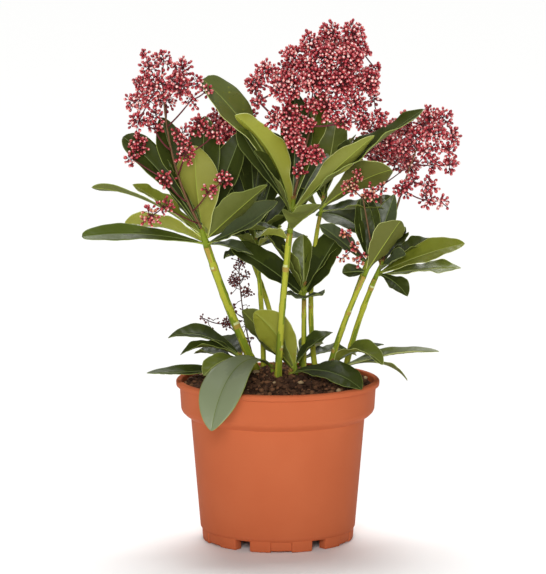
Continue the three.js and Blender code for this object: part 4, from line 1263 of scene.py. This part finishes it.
def crumbs_piece():
    """Crumbs and bits of bark that lie over the compost."""
    rng = np.random.default_rng(31)
    corners, faces = lump_shape()
    heap = Heap()
    for _ in range(CRUMBS):
        turn = rng.uniform(0, 2 * np.pi)
        away = (SOIL_R - 1.4) * math.sqrt(rng.uniform(0, 1))
        x, y = away * math.cos(turn), away * math.sin(turn)
        size = CRUMB_SIZE + CRUMB_GROWTH * rng.uniform(0, 1) ** FEW_LARGE
        stretch = rng.uniform(*CRUMB_STRETCH, 3) * CRUMB_FLAT
        rough = corners * (1 + rng.uniform(-CRUMB_ROUGH, CRUMB_ROUGH, (len(corners), 1))) * stretch * size
        a = rng.uniform(0, 2 * np.pi)
        spin = np.array([[math.cos(a), -math.sin(a), 0], [math.sin(a), math.cos(a), 0], [0, 0, 1]])
        z = soil_height(x, y) + soil_lumps(x, y) + size * 0.25 - 0.4 + rng.uniform(0, 0.7)
        kind = rng.choice(len(SOILS), p=SOIL_SHARES)
        heap.add(rough @ spin.T + np.array([x, y, z]), faces, np.full(len(faces), kind))
    fit(heap.make("compost_crumbs", SOILS), "soil", "soil")


# ---- the whole plant ----
def build():
    pot = new_object("nursery_pot", pot_mesh())
    pot.data.materials.append(pot_material())
    fit(pot, "pot", "pot")
    soil_bed()
    crumbs_piece()
    for name, stem in STEMS.items():
        stem_piece(name, stem)
    for name, shoot in SHOOTS.items():
        shoot_piece(name, shoot)
        leaves_piece(name, shoot)
    for name, head in FLOWERS.items():
        flower_pieces(name, head)


# ---- floor, light and camera ----
CAMERA_AT = (-0.0033, -2.245, 0.494)
CAMERA_DOWN_DEG = 8.1
CAMERA_LENS = 207.6
CAMERA_SENSOR = 36
CAMERA_SIGHT = 50
SKY_STRENGTH = 0.15
FLOOR_HALF = 12.0
FLOOR_DOWN = 0.0002
# Places and sizes in metres.
KEY = {"at": (-0.1, -2.25, 0.9), "aim": (0, 0, 0.2), "size": 0.8, "watts": 34}
OVERHEAD = {"tilt_deg": (-24, 1), "soft_deg": 40, "strength": 3.05}


def studio():
    """A pale floor, a broad overhead light, a softbox over the camera, and the camera."""
    scene = bpy.context.scene
    bm = bmesh.new()
    bmesh.ops.create_grid(bm, x_segments=1, y_segments=1, size=FLOOR_HALF)
    paper, _ = new_material("pale_studio_paper", "#fcfcfb", 0.9)
    floor = new_object("studio_floor", smooth_mesh(bm, "studio_floor", [paper]))
    floor.location.z = -FLOOR_DOWN
    sun = bpy.data.lights.new("overhead_light", "SUN")
    sun.energy = OVERHEAD["strength"]
    sun.angle = math.radians(OVERHEAD["soft_deg"])
    new_object("overhead_light", sun).rotation_euler = (*map(math.radians, OVERHEAD["tilt_deg"]), 0)
    light = bpy.data.lights.new("key_softbox", "AREA")
    light.shape = "SQUARE"
    light.size = KEY["size"]
    light.energy = KEY["watts"]
    lamp = new_object("key_softbox", light)
    lamp.location = KEY["at"]
    lamp.rotation_euler = (Vector(KEY["aim"]) - Vector(KEY["at"])).to_track_quat("-Z", "Y").to_euler()
    world = bpy.data.worlds.new("studio_air")
    world.use_nodes = True
    air = world.node_tree.nodes["Background"]
    air.inputs["Color"].default_value = (1, 1, 1, 1)
    air.inputs["Strength"].default_value = SKY_STRENGTH
    scene.world = world
    data = bpy.data.cameras.new("camera")
    data.lens = CAMERA_LENS
    data.sensor_width = CAMERA_SENSOR
    data.clip_end = CAMERA_SIGHT
    camera = new_object("camera", data)
    camera.location = CAMERA_AT
    camera.rotation_euler = (math.radians(90 - CAMERA_DOWN_DEG), 0, 0)
    scene.camera = camera
    scene.view_settings.view_transform = "Standard"


build()
studio()
